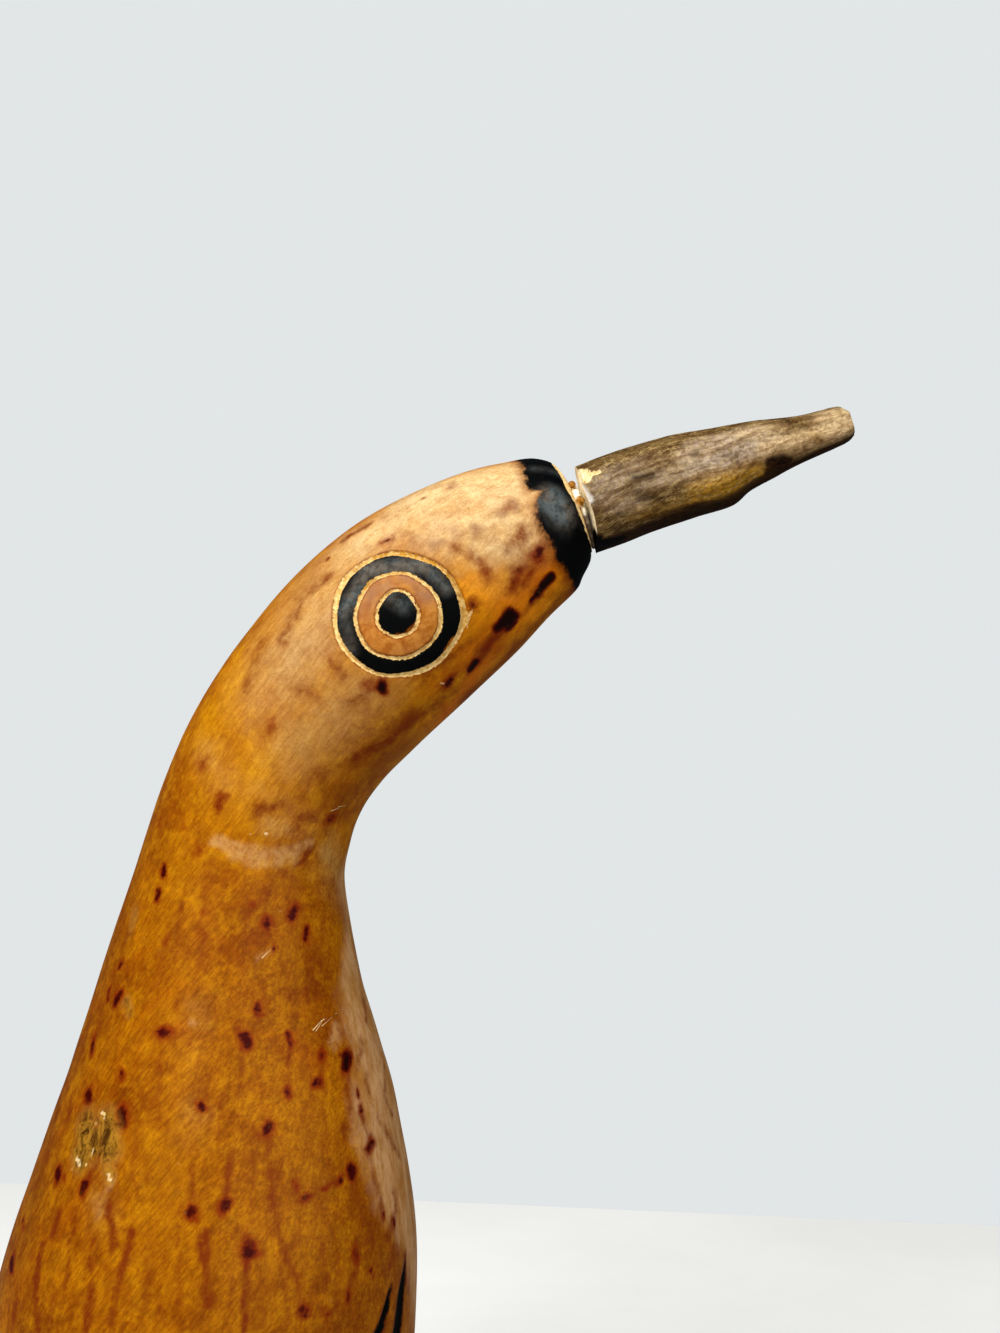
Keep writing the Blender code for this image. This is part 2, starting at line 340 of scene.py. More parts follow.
# %% Dots
DOTS = (
    (163, 1034, 165, 1035, 15, 1.0), (243, 1034, 246, 1045, 12, 1.0), (258, 1008, 259, 1010, 12, 1.0),
    (289, 1035, 292, 1044, 10, 0.95), (321, 1053, 321, 1060, 9, 0.85), (347, 1057, 345, 1068, 13, 1.15),
    (319, 1081, 316, 1085, 11, 1.0), (290, 1088, 290, 1092, 10, 0.9), (200, 1105, 201, 1107, 10, 1.0),
    (269, 1125, 267, 1131, 13, 0.9), (120, 993, 116, 1002, 11, 1.0), (109, 990, 107, 998, 8, 0.9),
    (120, 1072, 121, 1079, 9, 0.85), (89, 1092, 88, 1100, 12, 0.95), (122, 1112, 122, 1121, 16, 1.0),
    (84, 1186, 82, 1191, 13, 1.05), (58, 1168, 58, 1180, 11, 1.0), (64, 1177, 65, 1180, 8, 0.8),
    (191, 1210, 193, 1215, 14, 0.88), (226, 1202, 223, 1211, 13, 0.88), (248, 1247, 251, 1253, 17, 1.0),
    (352, 1167, 352, 1176, 11, 1.05), (341, 1180, 339, 1183, 9, 0.9), (330, 1186, 326, 1189, 8, 0.7),
    (307, 1198, 303, 1200, 9, 1.0), (296, 1181, 297, 1188, 7, 0.7), (371, 1143, 369, 1150, 11, 1.0),
    (358, 1091, 359, 1096, 8, 0.75), (351, 1055, 350, 1061, 10, 1.0), (394, 1217, 395, 1225, 9, 0.8),
    (362, 1108, 363, 1113, 8, 0.9), (384, 1212, 384, 1216, 7, 0.8), (303, 1309, 303, 1313, 14, 1.0),
    (326, 1314, 329, 1315, 11, 0.7), (357, 1250, 356, 1262, 10, 0.75), (348, 1294, 347, 1302, 9, 0.8),
    (372, 1272, 372, 1276, 6, 1.05), (93, 1036, 92, 1054, 10, 0.88), (121, 962, 120, 967, 8, 0.85),
    (175, 1005, 175, 1007, 9, 0.65), (198, 913, 201, 916, 10, 0.5), (269, 920, 268, 926, 13, 0.85),
    (295, 908, 293, 916, 13, 0.9), (307, 930, 305, 938, 11, 0.95), (274, 946, 275, 950, 5, 1.1),
    (12, 1258, 11, 1270, 12, 1.05), (222, 798, 219, 806, 13, 0.72), (226, 795, 228, 797, 8, 0.6),
    (204, 762, 202, 767, 14, 0.65), (163, 868, 163, 874, 11, 1.0), (158, 892, 157, 897, 11, 0.95),
    (198, 851, 197, 854, 12, 0.6), (251, 905, 252, 906, 6, 0.8), (165, 938, 165, 942, 11, 0.6),
    (161, 817, 160, 822, 9, 0.65), (183, 826, 183, 829, 9, 0.5), (200, 910, 199, 914, 12, 0.5),
    (200, 933, 201, 935, 12, 0.45), (504, 510, 513, 506, 13, 0.3), (541, 549, 538, 558, 17, 0.85),
    (549, 579, 545, 586, 10, 1.5), (545, 586, 540, 594, 9, 1.3), (540, 594, 533, 602, 7, 1.1),
    (542, 582, 534, 594, 12, 0.55), (511, 617, 507, 621, 15, 1.6), (505, 622, 498, 628, 12, 1.2),
    (514, 623, 506, 629, 9, 1.1), (500, 629, 487, 648, 12, 0.58), (476, 662, 472, 667, 12, 1.35),
    (452, 680, 448, 685, 12, 0.95), (487, 573, 489, 576, 14, 0.62), (519, 572, 513, 588, 15, 0.7),
    (531, 573, 524, 584, 12, 0.6), (471, 603, 473, 605, 13, 0.72), (390, 538, 382, 543, 11, 0.6),
    (328, 557, 326, 559, 5, 0.85), (383, 683, 381, 687, 12, 1.25), (364, 682, 376, 684, 11, 0.55),
    (408, 508, 422, 499, 5, 0.6), (272, 727, 269, 732, 16, 0.55), (449, 485, 451, 487, 13, 0.48),
    (23, 1218, 22, 1230, 9, 0.85), (341, 1052, 349, 1052, 7, 0.8), (333, 816, 331, 820, 14, 0.8),
)

# %% [markdown]
# ### Streaks and stains
#
# Down from many dots run soft brown streaks, where the skin dried unevenly. The same kind of list
# holds the wide, soft changes of colour: pale straw on top of the head, partly a painted highlight,
# pinkish tan, partly a painted pale reflection along the right edges, bright gold, glowing orange under
# the eye, brown bruises round it, and painted shade on the throat and along the undersides and edges
# of head, neck and body. Last come the edge of the pale strip on the breast, the milky film on the neck
# with a few painted highlights, painted glints, and fine scratches and stuck hairs.

# %% Streaks, stains and painted light
STREAKS = (
    (231, 1262, 229, 1330, 5, 0.45), (179, 1208, 178, 1306, 7, 0.5), (149, 1238, 146, 1310, 7, 0.5),
    (163, 1250, 158, 1330, 6, 0.45), (91, 1238, 88, 1270, 7, 0.6), (275, 1186, 281, 1256, 6, 0.5),
    (281, 1256, 288, 1330, 6, 0.45), (265, 1240, 264, 1320, 6, 0.45), (323, 1240, 326, 1290, 7, 0.45),
    (338, 1256, 338, 1300, 7, 0.45), (209, 1070, 207, 1130, 7, 0.4), (243, 1045, 240, 1100, 7, 0.5),
    (221, 1090, 220, 1140, 6, 0.4), (162, 1050, 158, 1096, 8, 0.45), (307, 964, 309, 1008, 7, 0.5),
    (206, 884, 203, 972, 8, 0.4), (181, 900, 174, 960, 7, 0.4), (226, 1000, 226, 1040, 7, 0.35),
    (255, 1130, 252, 1190, 6, 0.45), (140, 1120, 132, 1180, 7, 0.4), (75, 1210, 64, 1290, 6, 0.6),
    (52, 1290, 50, 1333, 7, 0.5), (306, 1100, 309, 1150, 7, 0.45), (323, 1090, 327, 1140, 6, 0.4),
    (170, 1033, 185, 1037, 9, 0.5), (203, 1233, 206, 1262, 9, 0.95), (206, 1262, 207, 1306, 7, 0.75),
    (247, 1258, 244, 1333, 6, 1.0), (211, 1292, 210, 1308, 7, 0.7), (231, 1148, 225, 1203, 7, 0.8),
    (193, 1164, 192, 1208, 7, 0.65), (110, 1206, 112, 1248, 8, 0.85), (116, 1286, 111, 1325, 7, 0.9),
    (92, 1286, 86, 1330, 8, 0.8), (131, 1232, 118, 1288, 8, 0.85), (102, 1150, 86, 1184, 7, 1.05),
    (60, 1212, 51, 1234, 7, 0.9), (41, 1244, 36, 1288, 8, 1.0), (34, 1278, 37, 1330, 7, 0.9),
    (16, 1300, 12, 1330, 8, 0.7), (268, 1137, 271, 1197, 6, 0.6), (271, 1197, 277, 1232, 9, 0.7),
    (279, 1232, 297, 1285, 5, 0.8), (297, 1285, 303, 1310, 5, 0.85), (305, 1315, 338, 1311, 6, 0.85),
    (308, 1198, 338, 1181, 5, 0.9), (357, 1235, 356, 1275, 6, 0.7), (291, 1046, 290, 1088, 6, 0.7),
    (321, 1060, 320, 1081, 6, 0.5), (346, 1068, 350, 1120, 8, 0.5), (71, 1096, 68, 1120, 8, 0.65),
    (104, 975, 98, 1030, 12, 0.4), (88, 1025, 74, 1075, 12, 0.45), (165, 938, 158, 985, 10, 0.35),
    (240, 960, 242, 1030, 14, 0.3), (262, 925, 250, 940, 9, 0.4), (310, 940, 318, 1000, 12, 0.35),
    (284, 870, 262, 905, 18, 0.3), (257, 811, 276, 804, 12, 0.6), (290, 831, 312, 817, 12, 0.5),
    (212, 866, 206, 874, 14, 0.45), (314, 848, 305, 859, 6, 1.1), (305, 859, 290, 866, 5, 0.9),
    (356, 760, 385, 742, 15, 0.8), (385, 742, 414, 720, 17, 0.8), (318, 775, 356, 760, 18, 0.45),
    (412, 722, 455, 690, 14, 0.55), (455, 652, 470, 640, 14, 0.5), (425, 672, 455, 655, 12, 0.6),
    (524, 530, 518, 544, 11, 0.65), (515, 544, 508, 552, 11, 0.6), (474, 556, 482, 566, 12, 0.6),
    (455, 548, 470, 556, 10, 0.45), (430, 560, 452, 572, 9, 0.4), (368, 524, 344, 538, 9, 0.8),
    (330, 575, 308, 592, 11, 0.62), (290, 620, 282, 640, 14, 0.5), (300, 600, 296, 618, 12, 0.5),
    (330, 662, 344, 676, 12, 0.5), (300, 690, 318, 700, 13, 0.45), (262, 640, 245, 690, 13, 0.42),
    (370, 690, 350, 705, 14, 0.48), (418, 655, 440, 668, 12, 0.45), (503, 626, 482, 654, 17, 0.85),
    (540, 598, 512, 622, 8, 0.5), (340, 790, 325, 830, 16, 0.4), (330, 880, 318, 960, 16, 0.3),
    (367, 1073, 370, 1095, 7, 0.55), (385, 1068, 385, 1097, 7, 0.6), (385, 1097, 392, 1114, 7, 0.6),
    (379, 1118, 393, 1143, 7, 0.6), (393, 1143, 400, 1158, 7, 0.6), (362, 1040, 357, 1068, 8, 0.5),
    (364, 1003, 367, 1022, 12, 0.55), (347, 1112, 346, 1140, 10, 0.55), (362, 1112, 370, 1140, 8, 0.7),
    (367, 1150, 383, 1208, 8, 0.6), (383, 1208, 384, 1218, 9, 0.8), (394, 1190, 397, 1214, 7, 0.5),
    (396, 1214, 388, 1240, 12, 0.75), (393, 1252, 387, 1272, 12, 0.7), (398, 1246, 399, 1262, 5, 0.7),
    (405, 1258, 406, 1280, 6, 0.95), (352, 1186, 362, 1215, 16, 0.55), (362, 1215, 372, 1246, 14, 0.6),
    (356, 1262, 348, 1296, 6, 0.85), (270, 1168, 292, 1200, 8, 0.45), (293, 1170, 296, 1190, 6, 0.6),
)
# Pale straw: partly the head's paler skin, partly a painted highlight where the light falls on top.
STRAW_AND_HIGHLIGHT_ZONES = (
    (478, 546, 512, 552, 28, 0.75), (420, 500, 530, 478, 85, 1.0), (360, 540, 420, 510, 60, 0.75),
    (440, 525, 520, 520, 60, 0.8), (531, 487, 545, 492, 12, 0.9), (537, 497, 533, 515, 10, 0.7),
    (340, 600, 300, 650, 60, 0.35),
)
# Pinkish tan, partly a painted pale reflection along the right edges of neck and body.
TAN_AND_SHEEN_ZONES = (
    (320, 580, 280, 680, 90, 0.9), (205, 750, 225, 780, 34, 0.45), (325, 870, 340, 900, 30, 0.5),
    (430, 540, 500, 560, 60, 0.6), (360, 690, 300, 740, 70, 0.8), (260, 790, 300, 830, 50, 0.35),
    (196, 1006, 200, 1020, 26, 0.4), (190, 1105, 200, 1118, 26, 0.45), (190, 1020, 200, 1090, 40, 0.2),
    (200, 1130, 190, 1135, 30, 0.3), (196, 1003, 215, 1000, 30, 0.2), (98, 1200, 104, 1215, 30, 0.45),
    (134, 905, 130, 930, 12, 0.4), (330, 850, 346, 900, 26, 0.9), (262, 822, 287, 830, 18, 0.75),
)
GOLD_ZONES = (
    (475, 592, 530, 612, 42, 1.0), (430, 700, 470, 670, 34, 0.5), (236, 680, 205, 740, 45, 0.8),
    (270, 750, 240, 800, 60, 0.6), (180, 860, 165, 930, 60, 0.45), (235, 1010, 240, 1150, 70, 0.3),
    (160, 1160, 175, 1240, 70, 0.6), (175, 1260, 260, 1320, 60, 0.4), (290, 1100, 330, 1240, 60, 0.35),
    (470, 590, 455, 640, 40, 0.7), (550, 582, 520, 612, 30, 0.75),
)
EMBER_ZONES = (
    (545, 570, 495, 630, 34, 0.8), (500, 632, 468, 655, 24, 0.9), (172, 1032, 186, 1036, 14, 0.4),
    (500, 640, 440, 720, 26, 0.7), (470, 660, 430, 690, 20, 0.6), (20, 1200, 0, 1320, 34, 0.3),
    (70, 1060, 40, 1160, 22, 0.3), (110, 940, 90, 1010, 16, 0.35), (180, 990, 150, 1010, 22, 0.3),
    (265, 690, 275, 730, 22, 0.4), (290, 1040, 322, 1070, 26, 0.3),
)
BREAST_EDGE = (
    (346, 930), (339, 985), (341, 1022), (352, 1046), (350, 1072), (351, 1108),
    (356, 1138), (363, 1156), (370, 1178), (376, 1204), (389, 1224), (402, 1243), (409, 1275), (414, 1330),
)  # pixels down the edge of the pale strip on the breast
BREAST_EDGE_UNSEEN = (
    (0.0, 6.0), (35.0, 16.0), (142.0, 16.0), (156.0, -4.0), (170.0, -30.0),
)  # its guessed edge beyond the photograph: mm along the skin, and degrees round from the breast
# Mostly painted glints, bright highlights on the neck and in the scar, and a few pale specks.
GLINTS_AND_SCRATCHES = (
    (441, 683, 444, 684, 2.6, 0.7), (250, 833, 252, 833, 2.4, 0.8), (265, 833, 267, 834, 2.2, 0.7),
    (75, 1157, 78, 1164, 5.0, 0.9), (107, 1174, 109, 1180, 4.5, 0.9), (101, 1111, 103, 1117, 4.0, 0.8),
    (92, 1150, 89, 1157, 3.0, 0.7),
)
THREADS = (
    (313, 1030, 322, 1020, 0.2), (321, 1021, 337, 1013, 0.17), (316, 1031, 324, 1018, 0.14),
    (322, 1026, 332, 1017, 0.13), (331, 811, 339, 808, 0.15), (338, 807, 347, 805, 0.12),
    (262, 958, 270, 950, 0.13), (467, 628, 470, 611, 0.14),
)  # the two ends in pixels, and the width in mm where it starts
BRUISES = (
    (360, 606, 384, 584, 24, 0.8), (384, 584, 404, 578, 20, 0.6), (408, 577, 428, 594, 17, 1.0),
    (452, 530, 456, 541, 14, 0.75), (432, 541, 436, 546, 12, 0.85), (504, 510, 513, 506, 12, 1.1),
    (471, 530, 474, 536, 14, 0.9), (395, 655, 420, 650, 9, 0.35),
)
# Painted shade: darker along the undersides and edges of head, neck and body, and on the throat.
PAINTED_SHADE_ZONES = (
    (584, 572, 540, 622, 22, 1.0), (540, 622, 470, 694, 24, 1.0), (410, 725, 375, 752, 26, 0.8),
    (430, 735, 520, 655, 20, 0.45), (345, 800, 400, 745, 44, 1.0), (290, 900, 320, 1000, 60, 0.5),
    (250, 900, 270, 960, 50, 0.3), (60, 1100, 20, 1260, 30, 0.5), (150, 830, 110, 950, 24, 0.4),
    (330, 1150, 350, 1300, 60, 0.3), (300, 1180, 320, 1290, 70, 0.2),
)
# A milky film of lacquer, with a few painted highlights, such as the one beside the eye.
MILKY_FILM_AND_HIGHLIGHTS = (
    (217, 841, 238, 850, 10, 1.1), (238, 852, 264, 857, 15, 1.1), (262, 858, 292, 854, 13, 0.9),
    (290, 852, 309, 844, 10, 0.8), (466, 566, 473, 566, 7, 0.9), (337, 1028, 334, 1044, 11, 0.7),
    (258, 959, 270, 951, 8, 0.5), (192, 1024, 195, 1024, 8, 0.6), (99, 1203, 101, 1212, 16, 0.4),
    (111, 1180, 108, 1190, 6, 0.7),
)

# %% [markdown]
# ### The far side
#
# Nobody has seen the other side, so it carries the same kinds of mark, more plainly: the wide stains,
# with their painted shade and highlights, are mirrored and pushed about by noise, and seeded random
# dots and streaks fill in. The part of the bulb below the photograph's edge is treated the same way.

# %% Marks nobody has seen
HIDDEN_DOTS = 95
HIDDEN_STREAKS = 60
SEEN_FROM = 52  # mm: below this height the photograph shows nothing
CLEAR_RINGS = (4, 60)  # rings at the underside and at the head that get no random mark
PUSH_SIZE = 24
PUSH = (9, 4, 12)  # mm that the mirrored stains are pushed about
WANDER = 0.7  # mm that noise pushes the marks about, so that none is a plain round or a straight bar
WANDER_SIZE = 2.6
rng = np.random.default_rng(7)


def hidden_spots(count):
    """Random rows and columns of the lattice, where the photograph doesn't reach."""
    found = []
    while len(found) < count:
        row = rng.integers(len(low_shares) + CLEAR_RINGS[0], rows - len(high_shares) - CLEAR_RINGS[1])
        column = rng.integers(columns)
        if column >= RIGHT_COLUMNS or skin_points[row, column, 2] < SEEN_FROM:
            found.append((row, column))
    return found


def add_hidden_marks(depth, points, count, lengths, reaches, strengths):
    """Lays random lines down the skin, each with its own length, reach in mm and strength."""
    for row, column in hidden_spots(count):
        length = rng.uniform(*lengths)
        last = int(np.searchsorted(skin_path, skin_path[row] + length))
        start = skin_points[row, column]
        end = skin_points[min(last, rows - len(high_shares) - 1), column]
        share = from_segment(points, start, end) / rng.uniform(*reaches)
        np.maximum(depth, rng.uniform(*strengths) * (1 - share), out=depth)


flat_points = skin_points.reshape(-1, 3)
far = (flat_points[:, 1] > 0).astype(float)
mirrored = flat_points * [1, -1, 1] + noise_vectors(flat_points, PUSH_SIZE, (1, 2, 3)) * PUSH
stain_points = np.where(far[:, None] > 0, mirrored, flat_points)
wander = WANDER * noise_vectors(flat_points, WANDER_SIZE, (31, 32, 33))
mark_points = flat_points + wander
stain_points = stain_points + 2 * wander
print("points on the far side:", int(far.sum()))

# %% [markdown]
# Some edges run round the whole gourd, so a line between two pixels can't hold them. These helpers
# turn a pixel into an angle round the gourd and a distance along its skin. Between such pairs an edge
# can be read off for every column of the lattice, on the far side too.

# %% Where a pixel lies on the lattice
BREAST = 3 * math.pi / 2
all_angles = np.broadcast_to(angles, (rows, columns)).reshape(-1)
all_paths = np.broadcast_to(skin_path[:, None], (rows, columns)).reshape(-1)


def lattice_place(column, row):
    """The angle round the gourd, and the distance along the skin, of what a pixel shows."""
    face = skin_tree.find_nearest(Vector(place_on(skin_tree, column, row)))[2]
    return angles[face % columns], skin_path[face // columns]


def degrees_from_breast(turn):
    away = np.abs(np.degrees(turn - BREAST))
    return np.minimum(away, 360 - away)


def strip_place(pixel):
    """Degrees round from the breast's middle, and mm along the skin."""
    turn, path = lattice_place(*pixel)
    return float(degrees_from_breast(turn)), float(path)


print("breast strip's edge:", [[round(v) for v in strip_place(pixel)] for pixel in BREAST_EDGE])

# %% [markdown]
# Now every point gets its numbers. Dots, streaks and film keep their raw depth, because the shader
# cuts a ragged edge through it. Stains, with the painted shade and highlights among them, are softened
# at both ends, so they fade out instead. The pale strip is how many mm inside its edge a point lies.

# %% Work out every mark's depth on the skin
dots = depth_in_marks(mark_points, skin_tree, DOTS)
add_hidden_marks(dots, mark_points, HIDDEN_DOTS, (0.2, 1.6), (1.3, 2.4), (0.6, 1.1))
streaks = depth_in_marks(mark_points, skin_tree, STREAKS)
add_hidden_marks(streaks, mark_points, HIDDEN_STREAKS, (4, 14), (1.2, 2.4), (0.3, 0.75))
# Among these, straw is partly a painted highlight, tan partly a painted reflection, and the shade zones are
# painted shade.
stain_and_painted_light_zones = {
    "straw_and_highlight": STRAW_AND_HIGHLIGHT_ZONES, "tan": TAN_AND_SHEEN_ZONES, "gold": GOLD_ZONES, "ember": EMBER_ZONES,
    "painted_shade_and_smudges": PAINTED_SHADE_ZONES, "bruise": BRUISES,
}
stains = {
    name: softly(depth_in_marks(stain_points, skin_tree, zones)) for name, zones in stain_and_painted_light_zones.items()
}
strip = [(path, turn) for turn, path in map(strip_place, BREAST_EDGE)]
strip = sorted([*strip, *BREAST_EDGE_UNSEEN])
bare = np.interp(all_paths, *zip(*strip)) - degrees_from_breast(all_angles)
bare = np.radians(bare) * np.repeat(skin_radius, columns)
glints_and_scratches = depth_in_marks(flat_points, skin_tree, GLINTS_AND_SCRATCHES)
milk_and_highlight = depth_in_marks(mark_points, skin_tree, MILKY_FILM_AND_HIGHLIGHTS)
print("share of the skin inside a dot:", round(float((dots > 0.66).mean()), 4))

# %% [markdown]
# ## The carved eyes
#
# Each eye is three rings cut with a knife, not quite round and not quite even. A ring is stored as a
# signed distance: how far each point is from the ring's middle, less than 0 inside it. One number
# then serves twice. It lowers the mesh into a V groove here, and it tells the shader where the pale
# inside of the shell shows and where the burnt band begins.

# %% Rings of the eye
EYE_PIXEL = (397.5, 614.5)
EYE_ZONE = 15.0  # mm: the distance that points off the side of the head are given
# each ring: half width and half height, its centre's shift upwards, the groove's width, all in mm
OUTER_RING = (10.45, 9.95, 0.1, 0.8)
MIDDLE_RING = (6.95, 6.95, -0.2, 0.64)
INNER_RING = (3.4, 3.6, 0.0, 0.55)
GROOVE_DEPTH = 0.6
PUPIL_POINT = 0.3  # how far the innermost ring rises to a point at its top
SIDE_FROM = 5.0  # mm across: nearer the middle than this is neither side of the head

eye_middle = place_on(skin_tree, *EYE_PIXEL)
beside_eye = flat_points[:, 0] - eye_middle[0]
above_eye = flat_points[:, 2] - eye_middle[2]
side_of_head = np.abs(flat_points[:, 1]) > SIDE_FROM
print("eye at", [round(float(c), 1) for c in eye_middle], "mm")


def knife_wobble(turn, seed):
    """How unsteady the hand was round a ring, in mm."""
    return 0.13 * np.sin(3 * turn + seed) + 0.08 * np.sin(7 * turn + 2.3 * seed)


def ring_distance(ring, seed, point_at_top=0.0):
    """Signed distance from a ring, and the groove's half width there."""
    half_width, half_height, shift, width = ring
    right = beside_eye
    up = above_eye - shift
    turn = np.arctan2(up, right)
    seed = seed + 1.7 * far
    line = 1 / np.hypot(np.cos(turn) / half_width, np.sin(turn) / half_height)
    line = line + knife_wobble(turn, seed) * math.sqrt(half_width / OUTER_RING[0])
    line = line + point_at_top * np.exp(-(((turn - math.pi / 2) / 0.45) ** 2))
    width = width * (0.95 + 0.3 * np.cos(turn + 0.3) ** 2 + 0.12 * np.sin(5 * turn + seed))
    away = np.hypot(right, up) - line
    return np.where(side_of_head, away, EYE_ZONE), width / 2


outer, outer_half = ring_distance(OUTER_RING, 1.0)
middle, middle_half = ring_distance(MIDDLE_RING, 2.0)
inner, inner_half = ring_distance(INNER_RING, 3.0, PUPIL_POINT)
ring_cuts = ((outer, outer_half), (middle, middle_half), (inner, inner_half))
eye_cut = np.maximum.reduce([half - np.abs(away) for away, half in ring_cuts])
print("deepest point of a groove is", round(float(eye_cut.max()), 2), "mm from its edge")

# %% [markdown]
# ## The flippers
#
# Two black strokes at the photograph's lower edge are the top of a flipper: engraved lines, burnt
# black, that fan out downwards. Its outline runs down the front edge, round the tip and up the back
# edge, open at the top where the strokes taper out. A few feather strokes fill it.

# %% Strokes of the flippers
FLIPPER_FRONT = (
    (70.3, 15.0, 0.15), (68.3, 16.2, 0.7), (66.4, 17.5, 1.2), (64.3, 18.8, 1.4), (60.0, 20.4, 1.6),
    (52.0, 25.0, 1.6), (43.0, 30.5, 1.5), (34.0, 38.5, 1.3), (25.0, 50.0, 1.2), (17.5, 65.0, 1.1),
)  # height in mm, degrees round from the breast, and half the stroke's width in mm
FLIPPER_TIP = (12.5, 82.0, 1.1)
FLIPPER_BACK = (
    (17.5, 87.0, 1.0), (26.0, 80.0, 1.0), (35.0, 68.5, 1.0), (44.0, 56.0, 1.0), (53.0, 42.5, 1.0),
    (61.2, 30.0, 1.0), (64.1, 26.9, 0.9), (66.0, 25.5, 0.6), (67.9, 24.0, 0.15),
)
FEATHERS = ((0.2, 56, 34), (0.42, 52, 26), (0.62, 50, 22), (0.82, 46, 28))  # share across, top, end
FEATHER_HALF_WIDTH = 0.7
STROKE_DEPTH = 0.4
STROKE_WALL = 0.8
STROKES_BELOW = 80.0  # mm: no stroke reaches this height
FAR_OUTSIDE = -5.0  # mm: what is stored where no cut is near


def on_bulb(height, degrees, side):
    """A place on the skin of the bulb: side -1 is the bird's right."""
    turn = math.radians(degrees)
    outward = Vector((math.cos(turn), side * math.sin(turn), 0.0))
    start = Vector((BULB_FORWARD, 0.0, height)) + outward * 2 * BULB_RADIUS
    return skin_tree.ray_cast(start, -outward)[0]


def flipper_edge(edge, height):
    """The angle of one of the flipper's edges at a height."""
    heights, degrees, _ = zip(*sorted(edge))
    return float(np.interp(height, heights, degrees))


def feather_path(share, top, end):
    path = []
    for level in np.linspace(top, end, 12):
        front = flipper_edge(FLIPPER_FRONT, level)
        back = flipper_edge(FLIPPER_BACK, level)
        width = FEATHER_HALF_WIDTH * math.sin(math.pi * (top - level + 2) / (top - end + 4))
        path.append((level, front + share * (back - front), width))
    return path


def stroke_samples():
    """Places along every stroke on both sides, each with the stroke's half width there."""
    outline = [*FLIPPER_FRONT, FLIPPER_TIP, *FLIPPER_BACK]
    strokes = [smooth_curve(outline, 24)]
    strokes += [smooth_curve(feather_path(*feather), 12) for feather in FEATHERS]
    samples = []
    for side in (-1, 1):
        for path in strokes:
            samples += [(on_bulb(level, degrees, side), half) for level, degrees, half in path]
    return samples


samples = stroke_samples()
stroke_tree = KDTree(len(samples))
for number, (place, _) in enumerate(samples):
    stroke_tree.insert(place, number)
stroke_tree.balance()
stroke = np.full(len(flat_points), FAR_OUTSIDE)
for number in np.flatnonzero(flat_points[:, 2] < STROKES_BELOW):
    _, nearest, away = stroke_tree.find(flat_points[number])
    stroke[number] = samples[nearest][1] - away
print("stroke samples:", len(samples), "points inside a stroke:", int((stroke > 0).sum()))

# %% [markdown]
# ## Burnt skin
#
# A hot iron blackened the front of the head, the eye's outer band, the pupil and the flippers'
# strokes. All of them go into one number: how many mm inside the burnt area each point lies. The edge
# of the band on the head is read from the photograph, as a distance along the skin at each angle.
# Short lists hold the places in the eye that the iron missed, a painted sheen that greys the black
# where it catches the light, and painted shade on the upper walls of the cuts, which face away from
# the light. Both sides of the head get them.

# %% Burnt areas
BURN_EDGE = (
    (519, 463), (525, 470), (525, 484), (532, 491), (543, 491), (537, 503),
    (537, 514), (540, 527), (549, 540), (557, 550), (556, 559), (567, 570), (571, 579),
)
UNBURNT = (
    (453, 640, 447, 650, 7, 1.1), (409, 630, 415, 624, 5, 0.75), (396, 634, 402, 635, 4, 0.6),
)
SMOKY = 0.42  # below 1 the band's edge fades over more mm than the other burns' edges
FAR_EDGE_WANDER = 1.1  # mm that the band's edge strays on the far side, so that it is no mirror image
# Painted reflection: a grey sheen on the glossy black, where it catches the light.
PAINTED_SHEEN_ZONES = (
    (552, 500, 562, 512, 26, 1.1), (558, 522, 566, 530, 15, 0.3), (533, 468, 560, 474, 12, 0.35),
    (343, 612, 366, 572, 15, 0.8), (366, 570, 425, 565, 15, 1.0), (425, 566, 446, 588, 13, 0.7),
    (342, 612, 350, 650, 13, 0.55), (392, 598, 404, 606, 15, 0.55),
)
# Painted shade: the upper walls of the cuts, which face away from the light, turn amber.
SHADED_CUT_WALLS = (
    (375, 555, 400, 552, 11, 1.2), (400, 552, 436, 560, 12, 1.3), (436, 560, 458, 584, 13, 1.4),
    (458, 584, 466, 625, 12, 1.0), (354, 600, 372, 576, 8, 1.2), (372, 574, 404, 570, 8, 1.1),
    (352, 610, 356, 640, 7, 0.8),
)

edge_angles, edge_paths = np.array(sorted(lattice_place(*pixel) for pixel in BURN_EDGE)).T
near_angles = np.where(all_angles > math.radians(270), math.radians(540) - all_angles, all_angles)
burn_start = np.interp(near_angles, edge_angles, edge_paths)
burn_start = burn_start + FAR_EDGE_WANDER * far * noise_at(flat_points, 4, 4)
burnt = (all_paths - burn_start) * SMOKY
burnt = np.maximum(burnt, np.minimum(-outer, middle))
burnt = np.maximum(burnt, -inner)
near_side = flat_points * np.where(far[:, None] > 0, [1, -1, 1], 1)
burnt = burnt - depth_in_marks(near_side, skin_tree, UNBURNT)
burnt = np.maximum(burnt, stroke)
painted_sheen = softly(depth_in_marks(near_side, skin_tree, PAINTED_SHEEN_ZONES))
shaded_cut_wall = softly(depth_in_marks(near_side, skin_tree, SHADED_CUT_WALLS))
print("share of the skin that is burnt:", round(float((burnt > 0).mean()), 3))

# %% [markdown]
# ## Scars and knife slips
#
# Three rough places on the skin never healed smooth: a large one that takes five marks, and two
# small ones. The knife also slipped past the eye's outer ring. The scars are sunk a little and
# roughened in the mesh, and the slip is a thin cut in the same number as the eye's grooves.

